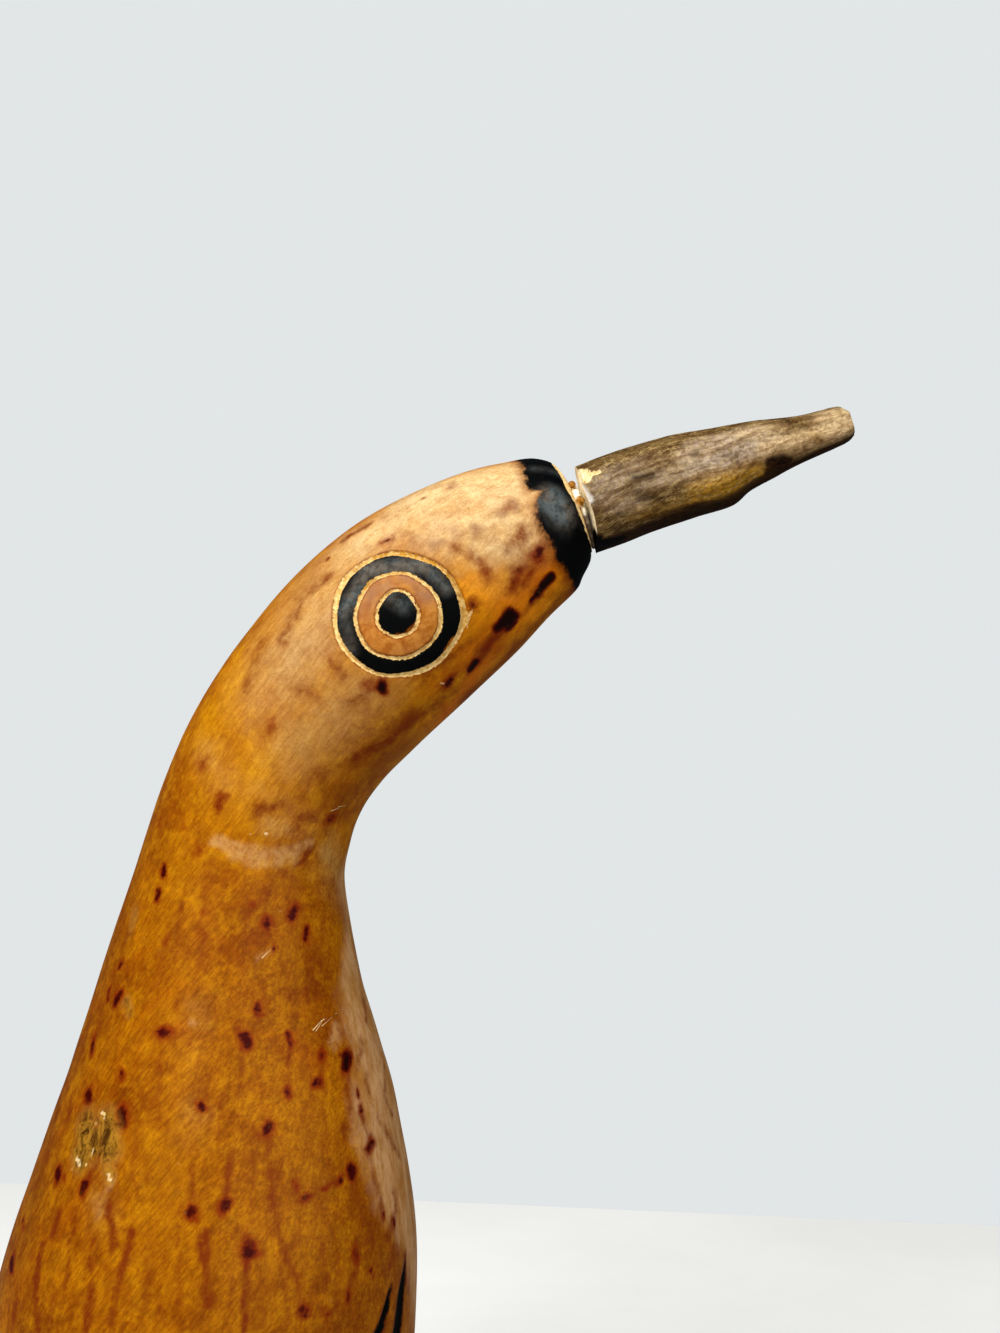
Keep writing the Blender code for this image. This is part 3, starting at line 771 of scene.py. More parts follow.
# %% Scars and slips
SCARS = (
    (86, 1126, 84, 1152, 26, 1.0), (105, 1122, 108, 1150, 24, 1.0), (95, 1134, 96, 1150, 22, 0.8),
    (76, 1152, 80, 1164, 15, 1.0), (106, 1170, 110, 1178, 9, 0.9), (126, 1002, 129, 1014, 10, 0.62),
    (134, 912, 131, 924, 10, 0.6),
)
SLIPS = (
    (472, 611, 468, 621, 3.4, 0.5), (468, 621, 461, 632, 3.8, 0.55), (463, 600, 467, 616, 3.4, 0.45),
)  # their strength is in mm, as it joins the groove's distances
SLIP_EDGE = 0.22  # mm of a slip's strength that lie outside its cut

scar = depth_in_marks(mark_points, skin_tree, SCARS)
slip = depth_in_marks(flat_points, skin_tree, SLIPS)
cut = np.maximum(eye_cut, np.where(slip > 0, slip - SLIP_EDGE, FAR_OUTSIDE))
print("share of the skin that is scarred:", round(float((scar > 0.2).mean()), 4))

# %% [markdown]
# ## Moving the skin
#
# With every mark known, each point moves along its normal: broad lumps that make the gourd less than
# perfectly turned, small dents, the V grooves, the scars, and the chipped edge where the head's end
# was cut. Moving points keeps all of this real in the mesh, so it shows in the outline and in any
# render. A bump map would only pretend.

# %% Move the points
LUMP_SIZE = 26.0
LUMP_HEIGHT = 0.16
DENT_SIZE = 6.5
DENT_HEIGHT = 0.05
SCAR_SINK = 0.35
SCAR_ROUGH = 0.22
GROOVE_WALL = 0.5  # mm from a groove's edge at which it is at its full depth
END_CHIP = 0.35
CHIP_REACH = 1.4  # mm from the end's edge that the chips reach
START_FADE = 3.0  # mm above the underside over which all moves set in

lumps = LUMP_HEIGHT * (noise_at(flat_points, LUMP_SIZE, 5) - 0.4)
dents = DENT_HEIGHT * noise_at(flat_points, DENT_SIZE, 6)
ragged = 1 + 0.35 * noise_at(flat_points, 0.7, 7)
groove = GROOVE_DEPTH * (eye_cut / GROOVE_WALL).clip(0, 1) * ragged
engraved = STROKE_DEPTH * (stroke / STROKE_WALL).clip(0, 1) * ragged
scarred = scar * (SCAR_SINK + SCAR_ROUGH * noise_at(flat_points, 0.9, 8))
end_nearness = (1 - np.abs(all_paths - ring_path[-1]) / CHIP_REACH).clip(0, 1)
chips = END_CHIP * end_nearness * noise_at(flat_points, 2.2, 9).clip(0, 1)
move = lumps + dents - groove - engraved - scarred - chips
move = move.reshape(rows, columns) * on_side
edge_fade = ((skin_path - ring_path[0]) / START_FADE).clip(0, 1)[:, None]
moved_skin = skin_points + skin_normals * (move * edge_fade)[..., None]
moved_tree = surface_tree(moved_skin, skin_faces)
print("largest move in mm:", round(float(np.abs(move).max()), 2))

# %% [markdown]
# The lattice becomes a mesh, and each list of numbers becomes a named attribute on its points. The
# straightened place is one of them: where each point would be if the neck were unbent. Grain that
# uses it follows the bend without a seam.

# %% Turn a lattice into a mesh
def lattice_mesh(name, points):
    """A closed object from a lattice: its rings, and a point in the middle of each end."""
    rows, columns = points.shape[:2]
    places = np.vstack([points.reshape(-1, 3), points[0].mean(0), points[-1].mean(0)]) * MM
    quads = lattice_faces(rows, columns).tolist()
    first = list(range(columns))
    last = [(rows - 1) * columns + i for i in first]
    caps = []
    for i in first:
        j = (i + 1) % columns
        caps.append((first[j], first[i], rows * columns))
        caps.append((last[i], last[j], rows * columns + 1))
    mesh = bpy.data.meshes.new(name)
    mesh.from_pydata(places.tolist(), [], quads + caps)
    mesh.shade_smooth()
    mesh.set_sharp_from_angle(angle=math.radians(62))
    made = bpy.data.objects.new(name, mesh)
    bpy.context.scene.collection.objects.link(made)
    return made


def store(made, name, values):
    """Keeps one number, or one vector, for each point under a name that shaders can read."""
    values = np.asarray(values, np.float32)
    vector = values.ndim == 2
    flat = np.zeros((len(made.data.vertices), 3) if vector else len(made.data.vertices), np.float32)
    flat[: len(values)] = values
    flat[len(values) :] = values[-1]
    kind = "FLOAT_VECTOR" if vector else "FLOAT"
    layer = made.data.attributes.new(name, kind, "POINT")
    layer.data.foreach_set("vector" if vector else "value", flat.ravel())


def triangles_in(mesh):
    return sum(len(face.vertices) - 2 for face in mesh.polygons)


def straightened(path, radius, angles):
    """Where the lattice's points would be if its middle line were straight, in mm."""
    turn = angles[None, :]
    reach = radius[:, None]
    places = [reach * np.cos(turn), reach * np.sin(turn), path[:, None] + 0 * turn]
    return np.stack(places, -1).reshape(-1, 3)


LIP_AT_TOP = 1.5  # mm more of bare rim at the top of the sawn end

gourd = lattice_mesh("gourd_skin_carved", moved_skin)
store(gourd, "straight", straightened(skin_path, skin_radius, angles))
skin_fields = {
    "dots": dots, "streaks": streaks, **stains, "shaded_cut_wall": shaded_cut_wall, "bare": bare,
    "glints_and_scratches": glints_and_scratches, "milk_and_highlight": milk_and_highlight, "cut": cut, "burnt": burnt, "painted_sheen": painted_sheen, "scar": scar,
}
for name, values in skin_fields.items():
    store(gourd, name, values)
topness = (np.sin(all_angles) - 0.1).clip(0, 1)
store(gourd, "cut_end", all_paths - ring_path[-1] + LIP_AT_TOP * topness)
store(gourd, "eye_skin", np.minimum(-middle, inner))
store(gourd, "sanded", ring_path[0] - all_paths)
print("gourd triangles:", triangles_in(gourd.data))

# %% [markdown]
# ## The stem for the beak
#
# The stem is built the same way, from its own stations. It has soft ribs, a knot on its underside
# and a blunt, worn tip. Its base was sawn a little askew, which leaves a wedge between it and the
# head. The stem's fibres run lengthwise, so its noise is stretched along it.

# %% Stations along the beak
BEAK_BASE = (68.4, 194.9)
BEAK_RISE = math.radians(17.8)
BEAK_BASE_RISE = math.radians(13.6)
BEAK_STATIONS = (
    (0.0, -0.15, 7.55), (5.1, 0.1, 7.6), (10.2, 0.3, 7.45), (17.7, 0.2, 7.25), (24.0, -0.25, 6.8),
    (27.7, 0.25, 5.9), (32.0, 0.35, 5.2), (36.0, 0.3, 4.4), (39.6, 0.2, 3.8), (43.0, 0.25, 3.5),
    (46.2, 0.35, 3.1), (47.4, 0.3, 2.2),
)  # distance from the base, how far it rides above its axis, and its radius, in mm
BEAK_RIBS = 5
BEAK_RIB_HEIGHT = 0.03
BEAK_COLUMNS = 176
BEAK_RING_SPACING = 0.27
BEAK_END_SHARES = (0.96, 0.85, 0.6, 0.3, 0.03)

beak_line = smooth_curve(BEAK_STATIONS, FINE_STEPS)
beak_reach = np.append(spaced(0, BEAK_STATIONS[-1][0], BEAK_RING_SPACING), BEAK_STATIONS[-1][0])
beak_lift, beak_radius = (np.interp(beak_reach, beak_line[:, 0], beak_line[:, k]) for k in (1, 2))
beak_angles = np.linspace(0, math.tau, BEAK_COLUMNS, endpoint=False)
shares = np.array(BEAK_END_SHARES)
beak_radius = np.r_[beak_radius[0] * shares[::-1], beak_radius, beak_radius[-1] * shares]
beak_lift = np.r_[beak_lift[0] + 0 * shares, beak_lift, beak_lift[-1] + 0 * shares]
beak_reach = np.r_[0 * shares, beak_reach, beak_reach[-1] + 0.25 * (1 - shares)]
print("beak rings:", len(beak_reach))

# %% [markdown]
# The rings are placed along the beak's rising axis and turned from the askew base to square. Five
# soft ribs run along it, and the base is bevelled away low down on its sides.

# %% Shape the beak
BEAK_BEVEL = 0.75  # mm that the base falls away towards its two sides, so it shows as a pale strip
BEAK_BEVEL_FADE = 6.0
BEAK_BEVEL_TOP = 0.45  # as a share of the radius above the middle: the bevel ends there
rib = 1 + BEAK_RIB_HEIGHT * np.cos(BEAK_RIBS * beak_angles)
beak_forward = BEAK_BASE[0] + beak_reach * math.cos(BEAK_RISE) - beak_lift * math.sin(BEAK_RISE)
beak_height = BEAK_BASE[1] + beak_reach * math.sin(BEAK_RISE) + beak_lift * math.cos(BEAK_RISE)
skew = np.interp(beak_reach, [0, 5], [BEAK_BASE_RISE, BEAK_RISE])
beak_points = tube_points(beak_forward, beak_height, beak_radius, skew, beak_angles)
beak_middle = np.stack([beak_forward, 0 * beak_forward, beak_height], -1)[:, None]
beak_points = beak_middle + (beak_points - beak_middle) * rib[None, :, None]
beak_axis = np.array([math.cos(BEAK_RISE), 0.0, math.sin(BEAK_RISE)])
near_base = (1 - beak_reach / BEAK_BEVEL_FADE).clip(0, 1)[:, None, None]
off_middle = (np.abs(beak_points[..., 1:2]) / beak_radius[len(shares)]) ** 1.5
low_down = ((BEAK_BEVEL_TOP - np.sin(beak_angles)) / 0.6).clip(0, 1)[None, :, None]
beak_points = beak_points + BEAK_BEVEL * near_base * off_middle * low_down * beak_axis
beak_normals = lattice_normals(beak_points)
beak_faces = lattice_faces(*beak_points.shape[:2])
flat_beak = beak_points.reshape(-1, 3)
beak_tree = surface_tree(beak_points, beak_faces)
beak_straight = straightened(beak_reach, beak_radius, beak_angles)
print("beak reaches", round(float(flat_beak[:, 0].max()), 1), "mm forward")

# %% [markdown]
# The beak's stains are read from the photograph like the gourd's: a grey painted highlight along its
# middle, golden brown on the lower side, a tan tip, a burnt patch at the base's foot, dark smudges at
# the knot and elsewhere, painted shade along its lower edge and underside, and a pale splinter broken
# out of the base's upper edge.

# %% Marks on the beak
BEAK_GOLD = (
    (704, 496, 756, 478, 30, 1.15), (640, 516, 700, 503, 22, 0.5), (800, 440, 850, 425, 22, 0.5),
)
BEAK_TAN = (
    (828, 424, 852, 420, 30, 1.0), (768, 447, 806, 440, 20, 0.85), (745, 432, 780, 428, 20, 0.5),
    (640, 470, 700, 455, 22, 0.35),
)
# Painted highlight: a grey-mauve sheen along the stem's middle, where the light catches it.
BEAK_PAINTED_SHEEN = (
    (698, 460, 756, 446, 30, 1.6), (640, 480, 700, 466, 20, 0.5), (598, 484, 640, 468, 22, 0.55),
    (596, 500, 640, 503, 18, 0.6),
)
BEAK_SMUDGES_AND_SHADE = (
    (770, 472, 786, 463, 12, 1.5), (777, 419, 789, 420, 9, 0.5), (790, 424, 804, 427, 8, 0.44),
    (771, 463, 784, 460, 9, 1.3), (615, 530, 690, 508, 13, 0.55), (636, 478, 652, 474, 12, 0.6),
    (640, 495, 662, 499, 14, 0.6), (600, 520, 660, 510, 8, 0.45), (690, 518, 735, 504, 7, 0.6),
    (700, 430, 745, 422, 8, 0.5),
)
BEAK_BURNT = (
    (598, 545, 616, 541, 14, 1.7), (596, 536, 599, 550, 11, 1.4),
)
BEAK_CHIP = (
    (578, 471, 584, 476, 14, 1.0), (584, 475, 598, 471, 5, 0.95), (577, 479, 580, 482, 6, 0.8),
)
BEAK_SMEAR = (
    (583, 489, 588, 499, 8, 1.0), (588, 499, 590, 508, 5, 0.8),
)
UNDERSIDE_START = 0.64  # how far below the middle the dark underside begins, as a share of the radius
UNDERSIDE_FADE = 0.3
marks_on_beak = {
    "gold": BEAK_GOLD, "tan": BEAK_TAN, "painted_sheen": BEAK_PAINTED_SHEEN, "painted_shade_and_smudges": BEAK_SMUDGES_AND_SHADE,
    "burnt": BEAK_BURNT, "cut": BEAK_CHIP, "smear": BEAK_SMEAR,
}
near_beak = np.stack([flat_beak[:, 0], -np.abs(flat_beak[:, 1]), flat_beak[:, 2]], -1)
beak_fields = {
    name: depth_in_marks(flat_beak if name == "cut" else near_beak, beak_tree, marks)
    for name, marks in marks_on_beak.items()
}
# Painted shade: the stem's underside darkens from a little below its middle downwards.
below = -np.sin(np.repeat(beak_angles[None], len(beak_reach), axis=0)).reshape(-1)
painted_shade_below = (below - UNDERSIDE_START) / UNDERSIDE_FADE + 0.25 * noise_at(flat_beak, 3.0, 21)
beak_fields["painted_shade_and_smudges"] = np.maximum(beak_fields["painted_shade_and_smudges"], painted_shade_below.clip(0, 1.2))
print("points in the splinter:", int((beak_fields["cut"] > 0.3).sum()))

# %% [markdown]
# Bare stem is a bundle of fibres. Noise that is squeezed along the beak raises broad ridges and fine
# fibres, the splinter is sunk, and wear rounds the tip unevenly.

# %% Move the beak's points
RIDGE_HEIGHT = 0.14
FIBRE_HEIGHT = 0.035
SPLINTER_SINK = 0.7
TIP_WEAR = 0.25
SMALLEST_RADIUS = 2.15  # mm: narrower rings belong to the flat ends and stay where they are
fibre_places = beak_straight * [1, 1, 0.06]
ridges = RIDGE_HEIGHT * (noise_at(fibre_places, 1.6, 11) - 0.2)
fibres = FIBRE_HEIGHT * noise_at(beak_straight * [1, 1, 0.12], 0.34, 12)
splinter = SPLINTER_SINK * ((beak_fields["cut"] - 0.3) * 4).clip(0, 1)
towards_tip = np.repeat((beak_reach / BEAK_STATIONS[-1][0]) ** 14, BEAK_COLUMNS)
worn_tip = TIP_WEAR * noise_at(flat_beak, 1.8, 13) * towards_tip
on_stem = np.repeat((beak_radius >= SMALLEST_RADIUS) & (beak_reach > 0), BEAK_COLUMNS)
beak_move = (ridges + fibres + worn_tip) * on_stem - splinter
moved_beak = beak_points + beak_normals * beak_move.reshape(beak_points.shape[:2])[..., None]
beak = lattice_mesh("beak_stem", moved_beak)
store(beak, "straight", beak_straight)
for name, values in beak_fields.items():
    store(beak, name, values)
store(beak, "sawn_base", np.repeat(np.where(beak_reach <= 0.01, 1.0, 0.0), BEAK_COLUMNS))
print("beak triangles:", triangles_in(beak.data))

# %% [markdown]
# ## The glue
#
# Glue was pressed out of the joint and dried in a ragged rim with a few round beads. Round things that
# run into each other are easiest as overlapping shapes joined by a voxel remesh, which melts them
# into one skin, and a little smoothing then rounds the joins as a thick liquid would.

# %% The glue's rim and beads
GLUE_MIDDLE = Vector((68.05, 0.0, 193.7))
GLUE_TILT = math.radians(18)
GLUE_RADIUS = 5.7
GLUE_FLATNESS = 0.15  # the disc's thickness as a share of its width
GLUE_LUMPS = 40
GLUE_BEADS = (
    (571.8, 484.6, -4.0, 0.66), (582.2, 500.5, -5.9, 0.5), (575.5, 493.0, -4.6, 0.72),
    (577.5, 498.5, -5.1, 0.75), (580.0, 505.0, -5.4, 0.55),
)  # column, row, how far across in mm, and radius in mm
AMBER_BEADS = 2
VOXEL = 0.15
glue_up = Vector((-math.sin(GLUE_TILT), 0.0, math.cos(GLUE_TILT)))
glue_along = Vector((math.cos(GLUE_TILT), 0.0, math.sin(GLUE_TILT)))


def add_ball(bm, place, radius, thickness=1.0):
    """A ball, or a disc if it is flattened along the beak."""
    ball = bmesh.ops.create_icosphere(bm, subdivisions=4, radius=radius)
    for vert in ball["verts"]:
        lengthwise = glue_along * vert.co.dot(glue_along)
        vert.co = Vector(place) + vert.co + lengthwise * (thickness - 1)


def bead_place(column, row, across):
    """The place on a pixel's line of sight that is so far across."""
    direction = sight_line(column, row)
    return VIEWPOINT + direction * ((across - VIEWPOINT.y) / direction.y)


bm = bmesh.new()
rng = np.random.default_rng(12)
add_ball(bm, GLUE_MIDDLE, GLUE_RADIUS, GLUE_FLATNESS)
for number in range(GLUE_LUMPS):
    turn = math.tau * number / GLUE_LUMPS
    spread = GLUE_RADIUS * rng.uniform(0.84, 0.98)
    place = GLUE_MIDDLE + (Vector((0, math.cos(turn), 0)) + glue_up * math.sin(turn)) * spread
    add_ball(bm, place, rng.uniform(0.3, 0.62), 0.7)
beads = [(bead_place(*bead[:3]), bead[3]) for bead in GLUE_BEADS]
for place, size in beads:
    add_ball(bm, place, size)
mesh = bpy.data.meshes.new("glue_rim_and_beads")
bmesh.ops.scale(bm, vec=(MM, MM, MM), verts=bm.verts)
bm.to_mesh(mesh)
bm.free()
glue = bpy.data.objects.new("glue_rim_and_beads", mesh)
bpy.context.scene.collection.objects.link(glue)
remesh = glue.modifiers.new("melt", "REMESH")
remesh.mode = "VOXEL"
remesh.voxel_size = VOXEL * MM
smoothing = glue.modifiers.new("round", "SMOOTH")
smoothing.factor = 0.5
smoothing.iterations = 3
bpy.context.view_layer.update()
melted = bpy.data.meshes.new_from_object(glue.evaluated_get(bpy.context.evaluated_depsgraph_get()))
glue.modifiers.clear()
glue.data = melted
melted.shade_smooth()

# %% [markdown]
# Where the glue is a bead it is clear amber. Further down the joint it is darker, so each point
# also stores how low it lies in the joint.

# %% Amber and dirt in the glue
glue_places = np.array([vert.co for vert in melted.vertices]) / MM
amber = np.zeros(len(glue_places))
for place, size in beads[:AMBER_BEADS]:
    away = np.linalg.norm(glue_places - np.array(place), axis=1)
    amber = np.maximum(amber, (2.7 - away / size).clip(0, 1))
store(glue, "amber", amber)
store(glue, "lowness", -(glue_places - np.array(GLUE_MIDDLE)) @ np.array(glue_up) / GLUE_RADIUS)
print("glue triangles:", triangles_in(melted))

# %% [markdown]
# ## Shaders: helpers
#
# A shader is a network of small nodes. Written out in full it is long, so these helpers add one node
# each and hand back the socket that comes out of it. A value can be a plain number or such a socket.

# %% Node helpers
def feed(tree, socket, value):
    """Links a socket, or sets a plain value."""
    if isinstance(value, bpy.types.NodeSocket):
        tree.links.new(value, socket)
    else:
        socket.default_value = value


def rgb(red, green, blue):
    return (red, green, blue, 1.0)


def maths(tree, operation, a, b, clamp=False):
    node = tree.nodes.new("ShaderNodeMath")
    node.operation = operation
    node.use_clamp = clamp
    feed(tree, node.inputs[0], a)
    feed(tree, node.inputs[1], b)
    return node.outputs[0]


def times(tree, a, b):
    return maths(tree, "MULTIPLY", a, b)


def plus(tree, a, b):
    return maths(tree, "ADD", a, b)


def minus(tree, a, b):
    return maths(tree, "SUBTRACT", a, b)


def larger(tree, a, b):
    return maths(tree, "MAXIMUM", a, b)


def vector_maths(tree, operation, a, b):
    node = tree.nodes.new("ShaderNodeVectorMath")
    node.operation = operation
    feed(tree, node.inputs[0], a)
    feed(tree, node.inputs["Scale"] if operation == "SCALE" else node.inputs[1], b)
    return node.outputs["Value" if operation in ("DOT_PRODUCT", "DISTANCE") else "Vector"]


def between(tree, value, low, high, to_low=0.0, to_high=1.0):
    """Maps a value from one range to another with soft ends, and holds it there."""
    node = tree.nodes.new("ShaderNodeMapRange")
    node.interpolation_type = "SMOOTHSTEP"
    for socket, number in zip(node.inputs, (value, low, high, to_low, to_high)):
        feed(tree, socket, number)
    return node.outputs[0]


def varied(tree, mask, at_black, at_white):
    """A number that a mask moves from one value to another."""
    return between(tree, mask, 0.0, 1.0, at_black, at_white)


def noisy(tree, vector, scale, detail=2.0, roughness=0.5, distortion=0.0):
    node = tree.nodes.new("ShaderNodeTexNoise")
    feed(tree, node.inputs["Vector"], vector)
    feed(tree, node.inputs["Scale"], scale)
    feed(tree, node.inputs["Detail"], detail)
    feed(tree, node.inputs["Roughness"], roughness)
    feed(tree, node.inputs["Distortion"], distortion)
    return node.outputs["Fac"]


def stretched(tree, vector, lengths, turn=(0, 0, 0)):
    """A texture's space that is turned, and drawn out along each of its axes by so many times."""
    node = tree.nodes.new("ShaderNodeMapping")
    node.vector_type = "TEXTURE"
    feed(tree, node.inputs["Vector"], vector)
    node.inputs["Rotation"].default_value = turn
    node.inputs["Scale"].default_value = lengths
    return node.outputs["Vector"]


def place_in_mm(tree):
    """The point's own place on its piece, in mm."""
    own = tree.nodes.new("ShaderNodeTexCoord").outputs["Object"]
    return stretched(tree, own, (MM, MM, MM))


def stored(tree, name, vector=False):
    """Reads a number or a vector that the mesh carries."""
    node = tree.nodes.new("ShaderNodeAttribute")
    node.attribute_name = name
    return node.outputs["Vector" if vector else "Fac"]


# %% [markdown]
# Every finish below is built as a painter would: one thin layer after another. `lay` puts a colour
# over what is there, where a mask says so, and `darken` glazes it with a darker tint of itself.

# %% Layers of colour
def blend(tree, share, below, above, kind="MIX"):
    """Lays one colour over another by a share."""
    node = tree.nodes.new("ShaderNodeMix")
    node.data_type = "RGBA"
    node.blend_type = kind
    node.clamp_factor = True
    feed(tree, node.inputs[0], share)
    feed(tree, node.inputs[6], below)
    feed(tree, node.inputs[7], above)
    return node.outputs[2]


def lay(tree, below, above, mask, strength):
    """Lays a colour over another where a mask is white, as strongly as a number or a socket says."""
    return blend(tree, times(tree, mask, strength), below, above)


def tinted(tree, colour, tint):
    return blend(tree, 1.0, colour, tint, "MULTIPLY")


def darken(tree, colour, tint, mask, strength):
    """Glazes a colour with a darker tint of itself."""
    return lay(tree, colour, tinted(tree, colour, tint), mask, strength)


# %% [markdown]
# A node group is built once, with named sockets, and then used by several finishes with values of
# their own. These two helpers make an empty group and place a finished one.

# %% Node group helpers
def new_group(name, inputs, outputs):
    """An empty node group with named sockets, and its input and output nodes."""
    tree = bpy.data.node_groups.new(name, "ShaderNodeTree")
    for label, kind, value in inputs:
        made = tree.interface.new_socket(label, in_out="INPUT", socket_type=f"NodeSocket{kind}")
        if value is not None:
            made.default_value = value
    for label, kind in outputs:
        tree.interface.new_socket(label, in_out="OUTPUT", socket_type=f"NodeSocket{kind}")
    return tree, tree.nodes.new("NodeGroupInput").outputs, tree.nodes.new("NodeGroupOutput").inputs


def use_group(tree, group, **values):
    """Places a group in a material with its own values, and hands back its outputs."""
    node = tree.nodes.new("ShaderNodeGroup")
    node.node_tree = group
    for name, value in values.items():
        feed(tree, node.inputs[name.replace("_", " ")], value)
    return node.outputs


# %% [markdown]
# ## Shader groups that several finishes share
#
# **Patches** are soft clouds of a second colour. Skin, stem, glue and table all have them, at
# different sizes. Two noises are added, one large and one small, because a single noise looks like
# what it is.

# %% Group: patches
LARGE_SHARE = 0.72
SMALL_SCALE = 4.3  # how many times smaller the small noise's lumps are

patches, given, result = new_group(
    "Patches",
    [("Vector", "Vector", None), ("Size", "Float", 8.0), ("Low", "Float", 0.35), ("High", "Float", 0.65)],
    [("Mask", "Float")],
)
unit = vector_maths(patches, "SCALE", given["Vector"], maths(patches, "DIVIDE", 1.0, given["Size"]))
large = times(patches, noisy(patches, unit, 1.0, 3.0, 0.55, 0.6), LARGE_SHARE)
small = times(patches, noisy(patches, unit, SMALL_SCALE, 2.0, 0.6, 0.3), 1 - LARGE_SHARE)
mixed = plus(patches, large, small)
feed(patches, result["Mask"], between(patches, mixed, given["Low"], given["High"]))
print("group:", patches.name)


def patch_mask(tree, vector, size, low, high):
    """Soft clouds about size mm across. The further low and high are apart, the softer they are."""
    return use_group(tree, patches, Vector=vector, Size=size, Low=low, High=high)["Mask"]


# %% [markdown]
# **Fibres** are long thin lines along the plant's growth. A noise squeezed across and stretched
# along gives them, and a second one breaks them up so that no line runs for ever.

# %% Group: fibres
fibre_group, given, result = new_group(
    "Fibres",
    [("Vector", "Vector", None), ("Width", "Float", 0.5), ("Break up", "Float", 0.5)],
    [("Lines", "Float"), ("Height", "Float")],
)
per_mm = maths(fibre_group, "DIVIDE", 1.0, given["Width"])
long_lines = noisy(fibre_group, given["Vector"], per_mm, 3.0, 0.6, 0.4)
breaks = noisy(fibre_group, given["Vector"], times(fibre_group, per_mm, 0.31), 2.0, 0.5, 1.0)
uneven = times(fibre_group, minus(fibre_group, breaks, 0.5), given["Break up"])
lines = plus(fibre_group, long_lines, uneven)
feed(fibre_group, result["Lines"], between(fibre_group, lines, 0.3, 0.7))
feed(fibre_group, result["Height"], lines)
print("group:", fibre_group.name)

# %% [markdown]
# **Ragged edge** turns a stored depth into a mask whose edge is torn at a scale far below the mesh.
# That is what makes a mark stored every half millimetre look sharp close up. The mask rises from
# Edge less Softness to Edge plus Softness. Tear is how far noise shifts the edge, and Tooth is how
# many mm its teeth are across.

# %% Group: ragged edge
ragged_group, given, result = new_group(
    "Ragged edge",
    [
        ("Depth", "Float", 0.0), ("Vector", "Vector", None), ("Edge", "Float", 0.0),
        ("Softness", "Float", 0.1), ("Tear", "Float", 0.2), ("Tooth", "Float", 0.4),
    ],
    [("Mask", "Float")],
)
per_tooth = maths(ragged_group, "DIVIDE", 1.0, given["Tooth"])
teeth = noisy(ragged_group, given["Vector"], per_tooth, 2.0, 0.6)
bays = noisy(ragged_group, given["Vector"], times(ragged_group, per_tooth, 0.35), 2.0, 0.5)
shift = plus(ragged_group, minus(ragged_group, teeth, 0.5), minus(ragged_group, bays, 0.5))
torn = plus(ragged_group, given["Depth"], times(ragged_group, shift, given["Tear"]))
low = minus(ragged_group, given["Edge"], given["Softness"])
high = plus(ragged_group, given["Edge"], given["Softness"])
feed(ragged_group, result["Mask"], between(ragged_group, torn, low, high))
print("group:", ragged_group.name)


def ragged_mask(tree, depth, vector, edge, softness, tear, tooth):
    """The mask of a depth, which is a socket or the name of a stored number."""
    if isinstance(depth, str):
        depth = stored(tree, depth)
    return use_group(
        tree, ragged_group, Depth=depth, Vector=vector,
        Edge=edge, Softness=softness, Tear=tear, Tooth=tooth,
    )["Mask"]


# %% [markdown]
# ** Burn** lays scorched black over a colour. A hot iron chars the middle evenly and browns a narrow
# rim round it, and a painted sheen, where the glossy black catches the light, greys the black in places.

# %% Group: burn
CHAR = rgb(0.0008, 0.001, 0.0012)
CHAR_FLECK = rgb(0.005, 0.003, 0.002)
SHEEN_WARM = rgb(0.100, 0.082, 0.064)
SHEEN_COOL = rgb(0.080, 0.098, 0.100)
SCORCH_TINT = rgb(0.42, 0.22, 0.12)

burn_group, given, result = new_group(
    "Burn",
    [
        ("Colour", "Color", rgb(0.5, 0.2, 0.02)), ("Depth", "Float", 0.0), ("Ash", "Float", 0.0),
        ("Vector", "Vector", None), ("Rim", "Float", 0.7),
    ],
    [("Colour", "Color"), ("Black", "Float")],
)
edge = ragged_mask(
    burn_group, given["Depth"], given["Vector"], edge=0.05, softness=0.26, tear=0.7, tooth=0.6,
)
rim = between(burn_group, given["Depth"], times(burn_group, given["Rim"], -1.0), 0.1)
grey = between(burn_group, noisy(burn_group, given["Vector"], 0.8, 6.0, 0.68), 0.36, 0.6, 0.4, 1.0)
sheen_tints = patch_mask(burn_group, given["Vector"], size=5.0, low=0.4, high=0.6)
sheen_colour = blend(burn_group, sheen_tints, SHEEN_WARM, SHEEN_COOL)
flecked = patch_mask(burn_group, given["Vector"], size=0.7, low=0.56, high=0.72)
char = blend(burn_group, flecked, CHAR, CHAR_FLECK)
# Painted reflection: the sheen greys the char where the stored amount says.
char = lay(burn_group, char, sheen_colour, grey, given["Ash"])
browned = darken(burn_group, given["Colour"], SCORCH_TINT, rim, 0.75)
feed(burn_group, result["Colour"], blend(burn_group, edge, browned, char))
feed(burn_group, result["Black"], edge)
print("group:", burn_group.name)

# %% [markdown]
# **Thread** is one fine straight line on the surface, such as a hair caught in the lacquer. The mesh
# is far too coarse to store it, so the shader measures each point's distance from the line itself.
# The line is widest where it starts.

# %% Group: thread
THREAD_START = 0.6  # half width at the start, as a share of the width
THREAD_TAPER = 0.35

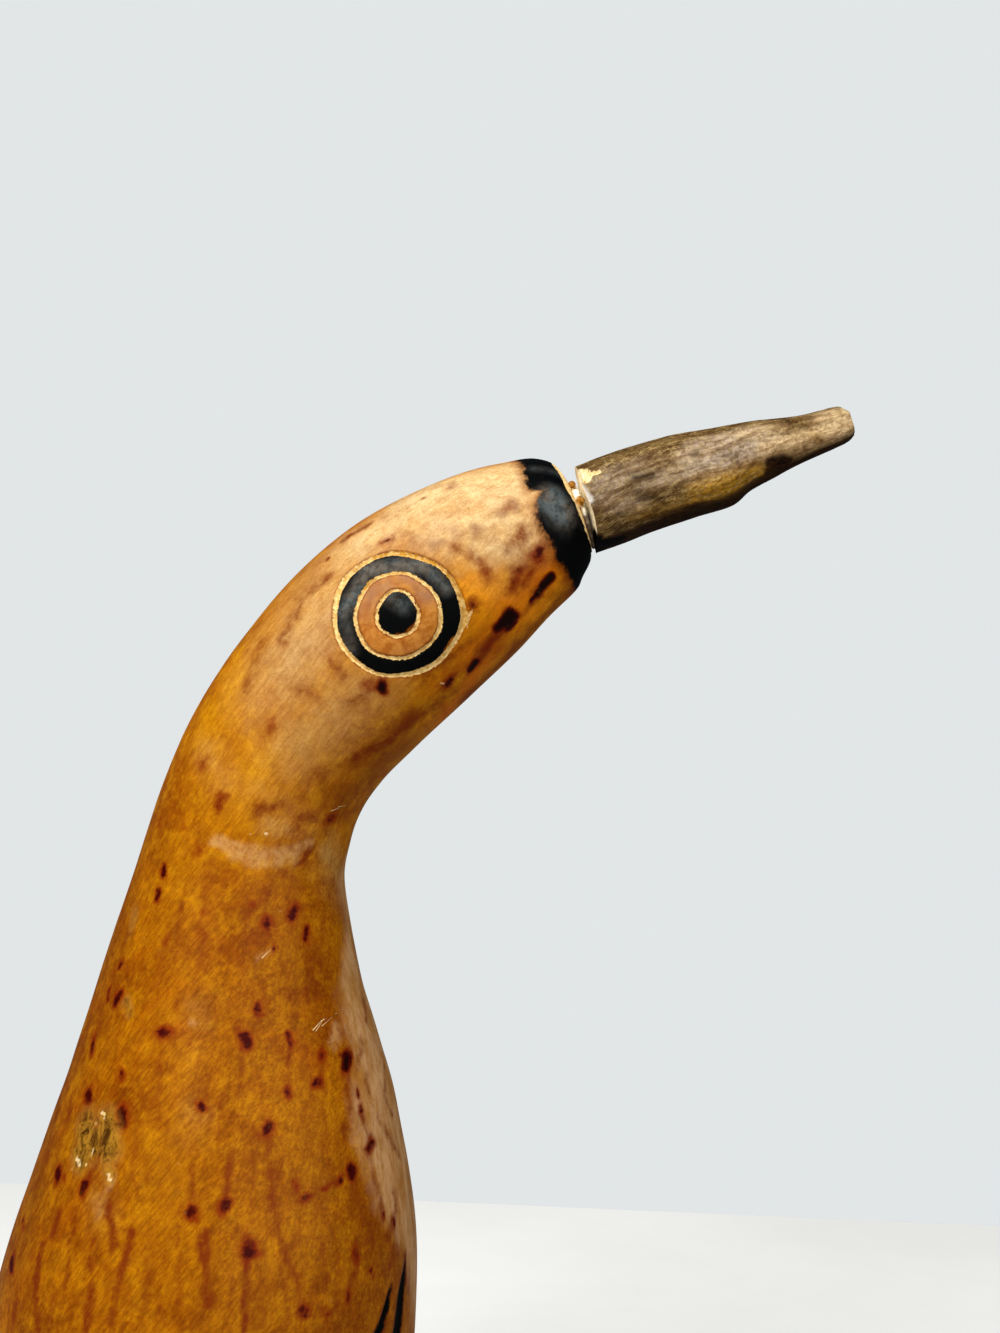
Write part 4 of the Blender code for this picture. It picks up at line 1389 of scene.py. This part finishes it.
thread_group, given, result = new_group(
    "Thread",
    [
        ("Vector", "Vector", None), ("Start", "Vector", None), ("Along", "Vector", None),
        ("Length", "Float", 1.0), ("Width", "Float", 0.2),
    ],
    [("Mask", "Float")],
)
offset = vector_maths(thread_group, "SUBTRACT", given["Vector"], given["Start"])
reach = vector_maths(thread_group, "DOT_PRODUCT", offset, given["Along"])
reach = maths(thread_group, "MINIMUM", larger(thread_group, reach, 0.0), given["Length"])
nearest = vector_maths(thread_group, "SCALE", given["Along"], reach)
away = vector_maths(thread_group, "DISTANCE", offset, nearest)
used = maths(thread_group, "DIVIDE", reach, given["Length"])
taper = minus(thread_group, THREAD_START, times(thread_group, used, THREAD_TAPER))
half_width = times(thread_group, given["Width"], taper)
inner_edge = times(thread_group, half_width, 0.5)
feed(thread_group, result["Mask"], between(thread_group, away, half_width, inner_edge))
print("group:", thread_group.name)

# %% [markdown]
# **Specks** are scattered pinpricks: pores in the skin, bubbles in glue, glints in a scar. A Voronoi
# texture has one random place in each cell, and a per-cell colour decides which cells keep theirs.

# %% Group: specks
speck_group, given, result = new_group(
    "Specks",
    [
        ("Vector", "Vector", None), ("Spacing", "Float", 2.0), ("Size", "Float", 0.1),
        ("Share", "Float", 0.3),
    ],
    [("Mask", "Float")],
)
cells = speck_group.nodes.new("ShaderNodeTexVoronoi")
feed(speck_group, cells.inputs["Vector"], given["Vector"])
feed(speck_group, cells.inputs["Scale"], maths(speck_group, "DIVIDE", 1.0, given["Spacing"]))
pick = speck_group.nodes.new("ShaderNodeSeparateColor")
feed(speck_group, pick.inputs[0], cells.outputs["Color"])
reach = maths(speck_group, "DIVIDE", given["Size"], given["Spacing"])
inside = between(speck_group, cells.outputs["Distance"], reach, times(speck_group, reach, 0.5))
kept = maths(speck_group, "LESS_THAN", pick.outputs[0], given["Share"])
feed(speck_group, result["Mask"], times(speck_group, inside, kept))
print("group:", speck_group.name)


def speck_mask(tree, vector, spacing, size, share):
    """Pinpricks of a size, at most one to each cell of the spacing, in a share of the cells."""
    return use_group(tree, speck_group, Vector=vector, Spacing=spacing, Size=size, Share=share)["Mask"]


# %% [markdown]
# ## Finish: the gourd's skin
#
# The colour is built up in the order in which it came about. The dried skin is honey orange with
# gold, tan and straw zones, the straw partly a painted highlight and the tan partly a painted
# reflection, and painted shade darkens its undersides and edges. Streaks and dots stain it. Then the
# iron burnt it, the knife cut down to the cream-coloured shell, and lacquer went over everything,
# glossy on skin and duller on char and raw cuts.

# %% Start a material
def new_material(name):
    made = bpy.data.materials.new(name)
    made.use_nodes = True
    tree = made.node_tree
    shader = tree.nodes["Principled BSDF"]
    return made, tree, shader


def bump(tree, shader, height, depth):
    """A Bump node on the shader, for relief finer than the mesh. The depth is in mm."""
    node = tree.nodes.new("ShaderNodeBump")
    node.inputs["Strength"].default_value = 1.0
    node.inputs["Distance"].default_value = depth * MM
    feed(tree, node.inputs["Height"], height)
    feed(tree, shader.inputs["Normal"], node.outputs[0])


skin_finish, tree, shader = new_material("lacquered_gourd_skin")
straight = stored(tree, "straight", vector=True)
place_mm = place_in_mm(tree)
print("material:", skin_finish.name)

# %% The skin's own colours
HONEY = rgb(0.47, 0.175, 0.002)
AMBER = rgb(0.29, 0.080, 0.001)
GOLD = rgb(0.57, 0.26, 0.003)
BRIGHT_GOLD = rgb(0.84, 0.30, 0.004)
EMBER = rgb(0.52, 0.115, 0.001)
TAN = rgb(0.48, 0.275, 0.085)
STRAW_AND_HIGHLIGHT = rgb(0.68, 0.52, 0.27)
BRUISE = rgb(0.24, 0.105, 0.05)
RUSSET = rgb(0.13, 0.018, 0.001)
BRIGHT_GOLD_FROM = (185, 212)  # mm along the skin over which gold turns bright, towards the head's end
ZONE_VARIATION = 0.7

split = tree.nodes.new("ShaderNodeSeparateXYZ")
feed(tree, split.inputs[0], straight)
up_the_skin = split.outputs["Z"]
clouds = patch_mask(tree, straight, size=9.0, low=0.36, high=0.64)
fine_clouds = patch_mask(tree, place_mm, size=3.6, low=0.42, high=0.66)
blotches = patch_mask(tree, straight, size=5.2, low=0.5, high=0.68)
flecks = patch_mask(tree, place_mm, size=1.7, low=0.38, high=0.66)
skin_colour = blend(tree, clouds, HONEY, AMBER)
skin_colour = lay(tree, skin_colour, GOLD, fine_clouds, 0.6)
skin_colour = lay(tree, skin_colour, AMBER, blotches, 0.6)
skin_colour = lay(tree, skin_colour, RUSSET, flecks, 0.22)
gold_here = blend(tree, between(tree, up_the_skin, *BRIGHT_GOLD_FROM), GOLD, BRIGHT_GOLD)
# Straw is partly a painted highlight, tan partly a painted reflection, and the last zone is painted shade.
for name, colour, strength in (
    ("gold", gold_here, 0.75), ("ember", EMBER, 0.8), ("tan", TAN, 0.85), ("straw_and_highlight", STRAW_AND_HIGHLIGHT, 0.95),
    ("bruise", BRUISE, 0.85), ("painted_shade_and_smudges", RUSSET, 0.7),
):
    share = varied(tree, flecks, strength, strength * ZONE_VARIATION)
    skin_colour = lay(tree, skin_colour, colour, stored(tree, name), share)
print("skin colours laid down")

# %% [markdown]
# Fine grain comes next. Short fibres cross the skin on a slant, and longer ones follow its length.
# They are only a breath darker than the skin. Painted shade then darkens the body below the neck all
# over, as the light falls off downwards.

# %% Grain of the skin
HATCH_SLANT = math.radians(38)
STIPPLE_TINT = rgb(0.62, 0.5, 0.3)
HATCH_TINT = rgb(0.55, 0.42, 0.3)
GRAIN_TINT = rgb(0.6, 0.42, 0.3)
FALLOFF_SHADE_TINT = rgb(0.80, 0.74, 0.45)

slanted = stretched(tree, place_mm, (1.0, 1.0, 7.0), (0.0, HATCH_SLANT, 0.0))
hatch = use_group(tree, fibre_group, Vector=slanted, Width=0.36, Break_up=0.6)
lengthwise = stretched(tree, straight, (1.0, 1.0, 11.0))
grain = use_group(tree, fibre_group, Vector=lengthwise, Width=1.1, Break_up=0.5)
stipple = between(tree, noisy(tree, place_mm, 2.6, 3.0, 0.7), 0.35, 0.68)
weaker_up = between(tree, up_the_skin, 120, 185, 0.7, 0.35)
painted_falloff_shade = between(tree, up_the_skin, 165, 122)
skin_colour = darken(tree, skin_colour, STIPPLE_TINT, stipple, 0.42)
skin_colour = darken(tree, skin_colour, HATCH_TINT, hatch["Lines"], weaker_up)
skin_colour = darken(tree, skin_colour, GRAIN_TINT, grain["Lines"], 0.3)
# Painted shade: the body below the neck is darkened, as the light falls off downwards.
skin_colour = blend(tree, painted_falloff_shade, skin_colour, tinted(tree, skin_colour, FALLOFF_SHADE_TINT))
print("grain laid down")

# %% [markdown]
# Down the breast runs a pale strip with faint veins, where the gourd lay on the ground and never
# coloured. Along the right edges in view its paleness is partly a painted reflection. A brown tide line
# follows its edge in places. It is cut from the stored distance to that edge, twice: once for the
# strip, and once a little wider for the line.

# %% The pale strip
STRIP_PALE_AND_SHEEN = rgb(0.50, 0.29, 0.13)
STRIP_VEIN = rgb(0.36, 0.17, 0.045)

bare_depth = stored(tree, "bare")
bare_mask = ragged_mask(tree, bare_depth, place_mm, edge=0.6, softness=2.8, tear=2.6, tooth=3.0)
wider_mask = ragged_mask(tree, bare_depth, place_mm, edge=-1.2, softness=1.8, tear=2.6, tooth=3.0)
tide_line = minus(tree, wider_mask, bare_mask)
veins = patch_mask(tree, stretched(tree, straight, (1.0, 1.0, 5.0)), size=3.5, low=0.42, high=0.62)
strip_colour = blend(tree, veins, STRIP_PALE_AND_SHEEN, STRIP_VEIN)
# Along the right edges in view the strip's paleness is partly a painted reflection.
skin_colour = lay(tree, skin_colour, strip_colour, bare_mask, varied(tree, fine_clouds, 0.85, 0.5))
skin_colour = lay(tree, skin_colour, RUSSET, tide_line, varied(tree, clouds, 0.05, 0.4))
print("strip laid down")

# %% [markdown]
# Stains lie over both: soft drips that noise makes low on the body, the streaks that were placed one
# by one, and the dots. A dot has a crimson halo and a dark red heart, which turns black where the
# dot's strength passes 1.

# %% Streaks and dots
CRIMSON = rgb(0.145, 0.012, 0.0004)
DOT_RED = rgb(0.032, 0.0006, 0.0003)
DOT_BLACK = rgb(0.003, 0.0004, 0.0004)

drips = patch_mask(tree, lengthwise, size=1.5, low=0.46, high=0.74)
skin_colour = lay(tree, skin_colour, RUSSET, drips, between(tree, up_the_skin, 130, 60, 0.0, 0.3))
streak_mask = ragged_mask(tree, "streaks", place_mm, edge=0.38, softness=0.37, tear=0.45, tooth=1.1)
patchy = patch_mask(tree, place_mm, size=1.7, low=0.3, high=0.62)
skin_colour = lay(tree, skin_colour, RUSSET, streak_mask, varied(tree, patchy, 0.6, 1.0))
dot_depth = stored(tree, "dots")
halo = ragged_mask(tree, dot_depth, place_mm, edge=0.4, softness=0.32, tear=0.4, tooth=0.8)
core = ragged_mask(tree, dot_depth, place_mm, edge=0.66, softness=0.16, tear=0.5, tooth=0.65)
core_colour = blend(tree, between(tree, dot_depth, 0.84, 1.05), DOT_RED, DOT_BLACK)
skin_colour = lay(tree, skin_colour, CRIMSON, halo, 0.9)
skin_colour = lay(tree, skin_colour, core_colour, core, 0.98)
pores = speck_mask(tree, place_mm, spacing=1.9, size=0.16, share=0.35)
skin_colour = lay(tree, skin_colour, RUSSET, pores, 0.4)
print("streaks and dots laid down")

# %% [markdown]
# The scars healed as a crust of nearly black and gold, with a brown halo and a few glints, painted as
# bright colour. A milky film of lacquer lies on the neck, with a few painted highlights among it, and
# painted glints, fine scratches and stuck hairs lie over everything.

# %% Milky film and painted highlights, scars, glints and scratches
MILK_AND_HIGHLIGHT = rgb(0.47, 0.27, 0.10)
SCAR_DARK = rgb(0.020, 0.006, 0.0005)
SCAR_GOLD = rgb(0.31, 0.145, 0.012)
SCAR_HALO = rgb(0.36, 0.15, 0.02)
GLINT = rgb(0.75, 0.6, 0.22)
PALE_GLINT_AND_THREAD = rgb(0.66, 0.50, 0.25)

# Milky film, and a few painted highlights in the same mask.
milk_and_highlight_mask = ragged_mask(tree, "milk_and_highlight", place_mm, edge=0.38, softness=0.34, tear=0.3, tooth=1.4)
skin_colour = lay(tree, skin_colour, MILK_AND_HIGHLIGHT, milk_and_highlight_mask, varied(tree, flecks, 0.47, 0.17))
scar_depth = stored(tree, "scar")
scar_mask = ragged_mask(tree, scar_depth, place_mm, edge=0.36, softness=0.3, tear=0.8, tooth=1.0)
scar_noise = noisy(tree, stretched(tree, place_mm, (1.0, 1.0, 1.9)), 0.62, 6.0, 0.72, 0.9)
scar_colour = blend(tree, between(tree, scar_noise, 0.38, 0.64), SCAR_DARK, SCAR_GOLD)
# Painted highlights: bright glints painted into the scar's colour.
glints = speck_mask(tree, place_mm, spacing=1.3, size=0.4, share=0.14)
scar_colour = blend(tree, glints, scar_colour, GLINT)
scar_halo = between(tree, scar_depth, 0.0, 0.5, 0.0, 0.5)
scar_share = between(tree, scar_depth, 0.2, 0.8, 0.35, 0.9)
skin_colour = lay(tree, skin_colour, SCAR_HALO, scar_halo, varied(tree, fine_clouds, 0.9, 0.2))
skin_colour = lay(tree, skin_colour, scar_colour, scar_mask, scar_share)

# Painted glints, with scratches and stuck hairs, in one pale mask.
glint_and_thread_mask = ragged_mask(tree, "glints_and_scratches", place_mm, edge=0.5, softness=0.2, tear=0.3, tooth=0.6)
for column_a, row_a, column_b, row_b, width in THREADS:
    start = place_on(moved_tree, column_a, row_a)
    along = place_on(moved_tree, column_b, row_b) - start
    length = float(np.linalg.norm(along))
    thread = use_group(
        tree, thread_group, Vector=place_mm, Start=tuple(start), Along=tuple(along / length),
        Length=length, Width=width,
    )
    glint_and_thread_mask = larger(tree, glint_and_thread_mask, thread["Mask"])
skin_colour = lay(tree, skin_colour, PALE_GLINT_AND_THREAD, glint_and_thread_mask, 0.85)
print("film, scars and", len(THREADS), "threads laid down")

# %% [markdown]
# The eye's inner ring is scraped skin, browner than the rest. Beside every cut a thin painted shadow
# darkens the skin. The burn goes over that, and last come all raw surfaces: the cuts, which are cream
# with amber in places and painted shade on their upper walls, the chipped lip of the head's end and
# the sanded underside.

# %% Burns and cuts
RING_BROWN = rgb(0.26, 0.072, 0.008)
RING_TAN = rgb(0.45, 0.19, 0.036)
RING_BRUISE = rgb(0.26, 0.135, 0.075)
CUT_SHADOW_TINT = rgb(0.52, 0.32, 0.18)
CREAM = rgb(0.72, 0.52, 0.22)
AMBER_AND_SHADED_WALL = rgb(0.38, 0.18, 0.018)
LIP_PALE = rgb(0.86, 0.68, 0.36)
LIP_TAN = rgb(0.58, 0.36, 0.12)
SANDED_PALE = rgb(0.52, 0.33, 0.13)
SANDED_BROWN = rgb(0.34, 0.17, 0.05)

ring_clouds = patch_mask(tree, place_mm, size=2.2, low=0.34, high=0.68)
ring_colour = blend(tree, ring_clouds, RING_BROWN, RING_TAN)
ring_colour = lay(tree, ring_colour, RING_BRUISE, stored(tree, "bruise"), varied(tree, flecks, 0.75, 0.4))
inside_eye = between(tree, stored(tree, "eye_skin"), -0.2, 0.4)
skin_colour = lay(tree, skin_colour, ring_colour, inside_eye, 0.86)
# Painted shadow: a thin dark line beside every cut, where the groove's wall shades the skin.
shadow_beside_cut = between(tree, stored(tree, "cut"), -0.34, -0.04)
skin_colour = darken(tree, skin_colour, CUT_SHADOW_TINT, shadow_beside_cut, varied(tree, flecks, 0.65, 0.1))
burn = use_group(
    tree, burn_group, Colour=skin_colour, Depth=stored(tree, "burnt"), Ash=stored(tree, "painted_sheen"),
    Vector=place_mm, Rim=0.8,
)
cut_mask = ragged_mask(tree, "cut", place_mm, edge=0.07, softness=0.06, tear=0.45, tooth=0.26)
cut_shade = patch_mask(tree, place_mm, size=0.75, low=0.36, high=0.6)
# Painted shade on the cuts' upper walls, with random amber beside it.
amber_and_shaded_wall = times(tree, stored(tree, "shaded_cut_wall"), varied(tree, cut_shade, 0.5, 1.0))
amber_and_shaded_wall = larger(tree, amber_and_shaded_wall, times(tree, cut_shade, 0.7))
lip = ragged_mask(tree, "cut_end", place_mm, edge=0.25, softness=0.15, tear=0.9, tooth=0.9)
sanded = ragged_mask(tree, "sanded", place_mm, edge=0.3, softness=0.3, tear=1.6, tooth=2.0)
raw_colour = blend(tree, amber_and_shaded_wall, CREAM, AMBER_AND_SHADED_WALL)
raw_colour = blend(tree, lip, raw_colour, blend(tree, cut_shade, LIP_PALE, LIP_TAN))
raw_colour = blend(tree, sanded, raw_colour, blend(tree, fine_clouds, SANDED_PALE, SANDED_BROWN))
raw = larger(tree, larger(tree, cut_mask, lip), sanded)
feed(tree, shader.inputs["Base Color"], blend(tree, raw, burn["Colour"], raw_colour))
print("burns and cuts laid down")

# %% [markdown]
# Lacquer gives a soft shine with sharper glints from its own coat. The shine is a little uneven where
# fingers rubbed it. Char and raw cuts drink the lacquer in and stay dull.

# %% Shine and fine relief of the skin
LACQUER_ROUGHNESS = (0.42, 0.54)
RAW_ROUGHER = 0.3
CHAR_ROUGHER = 0.06
COAT = 0.03
SKIN_BUMP = 0.05  # mm

rubbed = patch_mask(tree, straight, size=14.0, low=0.3, high=0.7)
rough = plus(tree, varied(tree, rubbed, *LACQUER_ROUGHNESS), times(tree, raw, RAW_ROUGHER))
rough = maths(tree, "ADD", rough, times(tree, burn["Black"], CHAR_ROUGHER), clamp=True)
feed(tree, shader.inputs["Roughness"], rough)
dull = larger(tree, raw, times(tree, burn["Black"], 0.9))
feed(tree, shader.inputs["Coat Weight"], times(tree, minus(tree, 1.0, dull), COAT))
shader.inputs["Coat Roughness"].default_value = 0.24
shader.inputs["Specular IOR Level"].default_value = 0.025
relief = plus(tree, times(tree, hatch["Height"], 0.35), times(tree, grain["Height"], 0.4))
relief = minus(tree, relief, times(tree, pores, 0.8))
relief = minus(tree, relief, times(tree, core, 0.4))
relief = plus(tree, relief, times(tree, times(tree, scar_noise, scar_mask), 3.0))
bump(tree, shader, relief, SKIN_BUMP)
gourd.data.materials.append(skin_finish)
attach(gourd, "root")
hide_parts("gourd")
print("skin finished:", len(tree.nodes), "nodes")

# %% [markdown]
# ## Finish: the stem
#
# Bare, weathered stem is dull, fibrous and warm brown, with a grey painted highlight along its middle
# and painted shade on its underside.
# It uses the same groups with other values: longer and coarser fibres, no coat, and burns that are
# only soft smudges.

# %% The stem's colours
STEM_DARK = rgb(0.070, 0.032, 0.006)
STEM_BROWN = rgb(0.14, 0.080, 0.022)
STEM_SHEEN_GREY = rgb(0.43, 0.35, 0.27)
STEM_GOLD = rgb(0.34, 0.165, 0.004)
STEM_TAN = rgb(0.61, 0.45, 0.26)
FIBRE_PALE = rgb(0.38, 0.27, 0.11)
CROSSING_PALE = rgb(0.43, 0.31, 0.14)

stem_finish, tree, shader = new_material("weathered_stem")
straight = stored(tree, "straight", vector=True)
place_mm = place_in_mm(tree)
lengthwise = stretched(tree, straight, (1.0, 1.0, 5.0), (0.0, math.radians(4), 0.0))
leaning = stretched(tree, place_mm, (1.0, 1.0, 6.0), (0.0, math.radians(48), 0.0))
coarse = use_group(tree, fibre_group, Vector=lengthwise, Width=0.85, Break_up=0.8)
fine = use_group(tree, fibre_group, Vector=lengthwise, Width=0.22, Break_up=0.8)
crossing = use_group(tree, fibre_group, Vector=leaning, Width=0.2, Break_up=0.8)
clouds = patch_mask(tree, straight, size=7.0, low=0.34, high=0.66)
stem_colour = blend(tree, clouds, STEM_DARK, STEM_BROWN)
# The first zone is the painted grey highlight along the stem's middle.
for name, colour, strength in (("painted_sheen", STEM_SHEEN_GREY, 0.85), ("gold", STEM_GOLD, 0.95), ("tan", STEM_TAN, 0.9)):
    zone = ragged_mask(tree, name, lengthwise, edge=0.4, softness=0.4, tear=0.5, tooth=1.4)
    stem_colour = lay(tree, stem_colour, colour, zone, strength)
stem_colour = lay(tree, stem_colour, FIBRE_PALE, fine["Lines"], 0.24)
crossing_lines = between(tree, crossing["Lines"], 0.5, 0.95)
stem_colour = lay(tree, stem_colour, CROSSING_PALE, crossing_lines, 0.55)
print("stem colours laid down")

# %% [markdown]
# Age darkens the stem unevenly: in stains, between its coarse fibres and in a fine felt of dirt. Dark
# smudges lie on it in places, painted shade darkens its lower edge and underside, and a pale smear of
# glue lies near its base.

# %% Dirt, smudges, painted shade and a smear of glue
STAIN_TINT = rgb(0.46, 0.38, 0.34)
GROOVE_TINT = rgb(0.38, 0.3, 0.22)
FELT_TINT = rgb(0.36, 0.28, 0.2)
SMUDGE_AND_SHADE_BLACK = rgb(0.002, 0.0007, 0.0003)
SMUDGE_AND_SHADE_BROWN = rgb(0.018, 0.005, 0.001)
SMEAR = rgb(0.62, 0.58, 0.52)

stains = patch_mask(tree, straight, size=2.8, low=0.5, high=0.66)
felt = patch_mask(tree, place_mm, size=0.9, low=0.4, high=0.62)
stem_colour = darken(tree, stem_colour, STAIN_TINT, stains, 0.6)
stem_colour = darken(tree, stem_colour, GROOVE_TINT, coarse["Lines"], 0.88)
stem_colour = darken(tree, stem_colour, FELT_TINT, felt, 0.6)
# Dark smudges and painted shade on the lower edge and underside share one mask.
smudge_and_shade_mask = ragged_mask(tree, "painted_shade_and_smudges", lengthwise, edge=0.45, softness=0.42, tear=0.6, tooth=1.4)
smudge_and_shade_colour = blend(tree, fine["Lines"], SMUDGE_AND_SHADE_BLACK, SMUDGE_AND_SHADE_BROWN)
stem_colour = lay(tree, stem_colour, smudge_and_shade_colour, smudge_and_shade_mask, 0.96)
smear = ragged_mask(tree, "smear", place_mm, edge=0.45, softness=0.3, tear=0.4, tooth=0.8)
stem_colour = lay(tree, stem_colour, SMEAR, smear, 0.75)
print("dirt and soot laid down")

# %% [markdown]
# The foot of the base is charred, a splinter broke out of its upper edge, and the sawn base shows
# fresh pale wood except where it burnt.

# %% Char, splinter and sawn base of the stem
SPLINTER_PALE = rgb(0.80, 0.64, 0.34)
SPLINTER_TAN = rgb(0.60, 0.41, 0.17)
SAWN_PALE = rgb(0.95, 0.86, 0.64)
SAWN_TAN = rgb(0.80, 0.64, 0.38)
CHAR_START = 0.45
STEM_ROUGHNESS = (0.5, 0.68)
STEM_BUMP = 0.12  # mm

burn_depth = stored(tree, "burnt")
burn = use_group(
    tree, burn_group, Colour=stem_colour, Vector=place_mm, Rim=0.5,
    Depth=minus(tree, burn_depth, CHAR_START), Ash=0.0,
)
splinter_mask = ragged_mask(tree, "cut", place_mm, edge=0.42, softness=0.08, tear=0.4, tooth=0.7)
unburnt = between(tree, burn_depth, 0.15, 0.6, 1.0, 0.0)
sawn = times(tree, between(tree, stored(tree, "sawn_base"), 0.8, 0.98), unburnt)
raw_colour = blend(tree, felt, SPLINTER_PALE, SPLINTER_TAN)
raw_colour = blend(tree, sawn, raw_colour, blend(tree, felt, SAWN_PALE, SAWN_TAN))
raw = larger(tree, splinter_mask, sawn)
feed(tree, shader.inputs["Base Color"], blend(tree, raw, burn["Colour"], raw_colour))
rough = maths(tree, "ADD", varied(tree, clouds, *STEM_ROUGHNESS), times(tree, felt, 0.1), clamp=True)
feed(tree, shader.inputs["Roughness"], rough)
shader.inputs["Specular IOR Level"].default_value = 0.03
relief = plus(tree, times(tree, coarse["Height"], 0.9), times(tree, fine["Height"], 0.6))
relief = plus(tree, relief, times(tree, felt, 0.35))
bump(tree, shader, relief, STEM_BUMP)
beak.data.materials.append(stem_finish)
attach(beak, "root")
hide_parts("beak")
print("stem finished:", len(tree.nodes), "nodes")

# %% [markdown]
# ## Finish: the glue
#
# Old glue is clear amber where it is thick and cloudy white where it is thin or full of bubbles. It
# could be made with subsurface scattering, but at a millimetre thick its colour alone tells it apart.

# %% The glue's finish
GLUE_YELLOW = rgb(0.72, 0.60, 0.36)
GLUE_WHITE = rgb(0.86, 0.82, 0.70)
GLUE_DARK_LOW = rgb(0.05, 0.022, 0.008)
BUBBLE = rgb(0.85, 0.8, 0.66)
DROP_DARK = rgb(0.20, 0.075, 0.004)
DROP_BRIGHT = rgb(0.42, 0.20, 0.02)
GLUE_ROUGHNESS = (0.34, 0.55)
GLUE_BUMP = 0.04  # mm

glue_finish, tree, shader = new_material("dried_glue")
place_mm = place_in_mm(tree)
cloudy = patch_mask(tree, place_mm, size=1.6, low=0.4, high=0.6)
bubbles = speck_mask(tree, place_mm, spacing=0.7, size=0.12, share=0.5)
darker_low = ragged_mask(tree, "lowness", place_mm, edge=-0.03, softness=0.12, tear=0.3, tooth=0.8)
glue_colour = blend(tree, cloudy, GLUE_YELLOW, GLUE_WHITE)
glue_colour = lay(tree, glue_colour, GLUE_DARK_LOW, darker_low, 0.93)
glue_colour = lay(tree, glue_colour, BUBBLE, bubbles, 0.5)
honey_drop = blend(tree, cloudy, DROP_DARK, DROP_BRIGHT)
glue_colour = blend(tree, stored(tree, "amber"), glue_colour, honey_drop)
feed(tree, shader.inputs["Base Color"], glue_colour)
feed(tree, shader.inputs["Roughness"], varied(tree, cloudy, *GLUE_ROUGHNESS))
shader.inputs["Specular IOR Level"].default_value = 0.15
bump(tree, shader, bubbles, GLUE_BUMP)
glue.data.materials.clear()
glue.data.materials.append(glue_finish)
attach(glue, "root")
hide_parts("glue_seam")
print("glue finished:", len(tree.nodes), "nodes")

# %% [markdown]
# ## Table and light
#
# The bird stands on a plain pale table whose back edge is about a foot behind it. One large soft
# lamp from the upper left stands for a window, a weaker one fills from the right, and a pale world
# all round gives the lacquer its milky rims.

# %% The table
TABLE_BACK = 0.29  # metres, as are the next two
TABLE_REACH = 2.2
TABLE_THICKNESS = 0.03
TABLE_TURN = math.radians(-9.2)
TABLE_PALE = rgb(0.90, 0.91, 0.90)
TABLE_CLOUD = rgb(0.86, 0.87, 0.86)
TABLE_LIGHT = rgb(0.3, 0.3, 0.3)  # what the bird sees of it, so that it throws up less light

bm = bmesh.new()
bmesh.ops.create_cube(bm, size=1.0)
for vert in bm.verts:
    vert.co.x *= 2 * TABLE_REACH
    vert.co.y = TABLE_BACK if vert.co.y > 0 else -TABLE_REACH
    vert.co.z = 0.0 if vert.co.z > 0 else -TABLE_THICKNESS
mesh = bpy.data.meshes.new("table_top")
bm.to_mesh(mesh)
bm.free()
table = bpy.data.objects.new("table_top", mesh)
table.rotation_euler.z = TABLE_TURN
bpy.context.scene.collection.objects.link(table)
table_finish, tree, shader = new_material("pale_table")
place_mm = place_in_mm(tree)
clouds = patch_mask(tree, place_mm, size=90.0, low=0.3, high=0.7)
seen_colour = blend(tree, clouds, TABLE_PALE, TABLE_CLOUD)
rays = tree.nodes.new("ShaderNodeLightPath")
table_colour = blend(tree, rays.outputs["Is Camera Ray"], TABLE_LIGHT, seen_colour)
feed(tree, shader.inputs["Base Color"], table_colour)
shader.inputs["Roughness"].default_value = 0.6
mesh.materials.append(table_finish)
print("table's back edge is", TABLE_BACK, "m behind the bird")

# %% [markdown]
# Area lamps as large as a window give shadows with soft edges. The world is one pale grey for what the
# camera sees and a bluer, much weaker one for the light that it gives.

# %% Lamps and world
LAMP_AIM = Vector((0.03, 0.0, 0.12))
LAMPS = {
    "window": ((-0.3, -0.6, 1.0), 0.8, 24.0, (1.0, 0.985, 0.96)),
    "fill": ((0.7, -0.8, 0.25), 1.3, 9.5, (1.0, 0.97, 0.93)),
}  # place and width in metres, power in watts, colour
WORLD_SEEN = rgb(0.76, 0.79, 0.80)
WORLD_LIGHT = rgb(0.80, 0.84, 0.88)
WORLD_STRENGTH = 0.12


def add_lamp(name, place, size, power, colour):
    data = bpy.data.lights.new(name, "AREA")
    data.shape = "DISK"
    data.size = size
    data.energy = power
    data.color = colour
    lamp = bpy.data.objects.new(name, data)
    lamp.location = place
    aim = (LAMP_AIM - Vector(place)).to_track_quat("-Z", "Y")
    lamp.rotation_euler = aim.to_euler()
    bpy.context.scene.collection.objects.link(lamp)


for name, (place, size, power, colour) in LAMPS.items():
    add_lamp(name, place, size, power, colour)
world = bpy.data.worlds.new("pale_room")
world.use_nodes = True
tree = world.node_tree
sky = tree.nodes["Background"]
sky.inputs["Color"].default_value = WORLD_LIGHT
sky.inputs["Strength"].default_value = WORLD_STRENGTH
seen = tree.nodes.new("ShaderNodeBackground")
seen.inputs["Color"].default_value = WORLD_SEEN
rays = tree.nodes.new("ShaderNodeLightPath")
either = tree.nodes.new("ShaderNodeMixShader")
tree.links.new(rays.outputs["Is Camera Ray"], either.inputs[0])
tree.links.new(sky.outputs[0], either.inputs[1])
tree.links.new(seen.outputs[0], either.inputs[2])
tree.links.new(either.outputs[0], tree.nodes["World Output"].inputs["Surface"])
bpy.context.scene.world = world
print("lamps:", sorted(LAMPS))
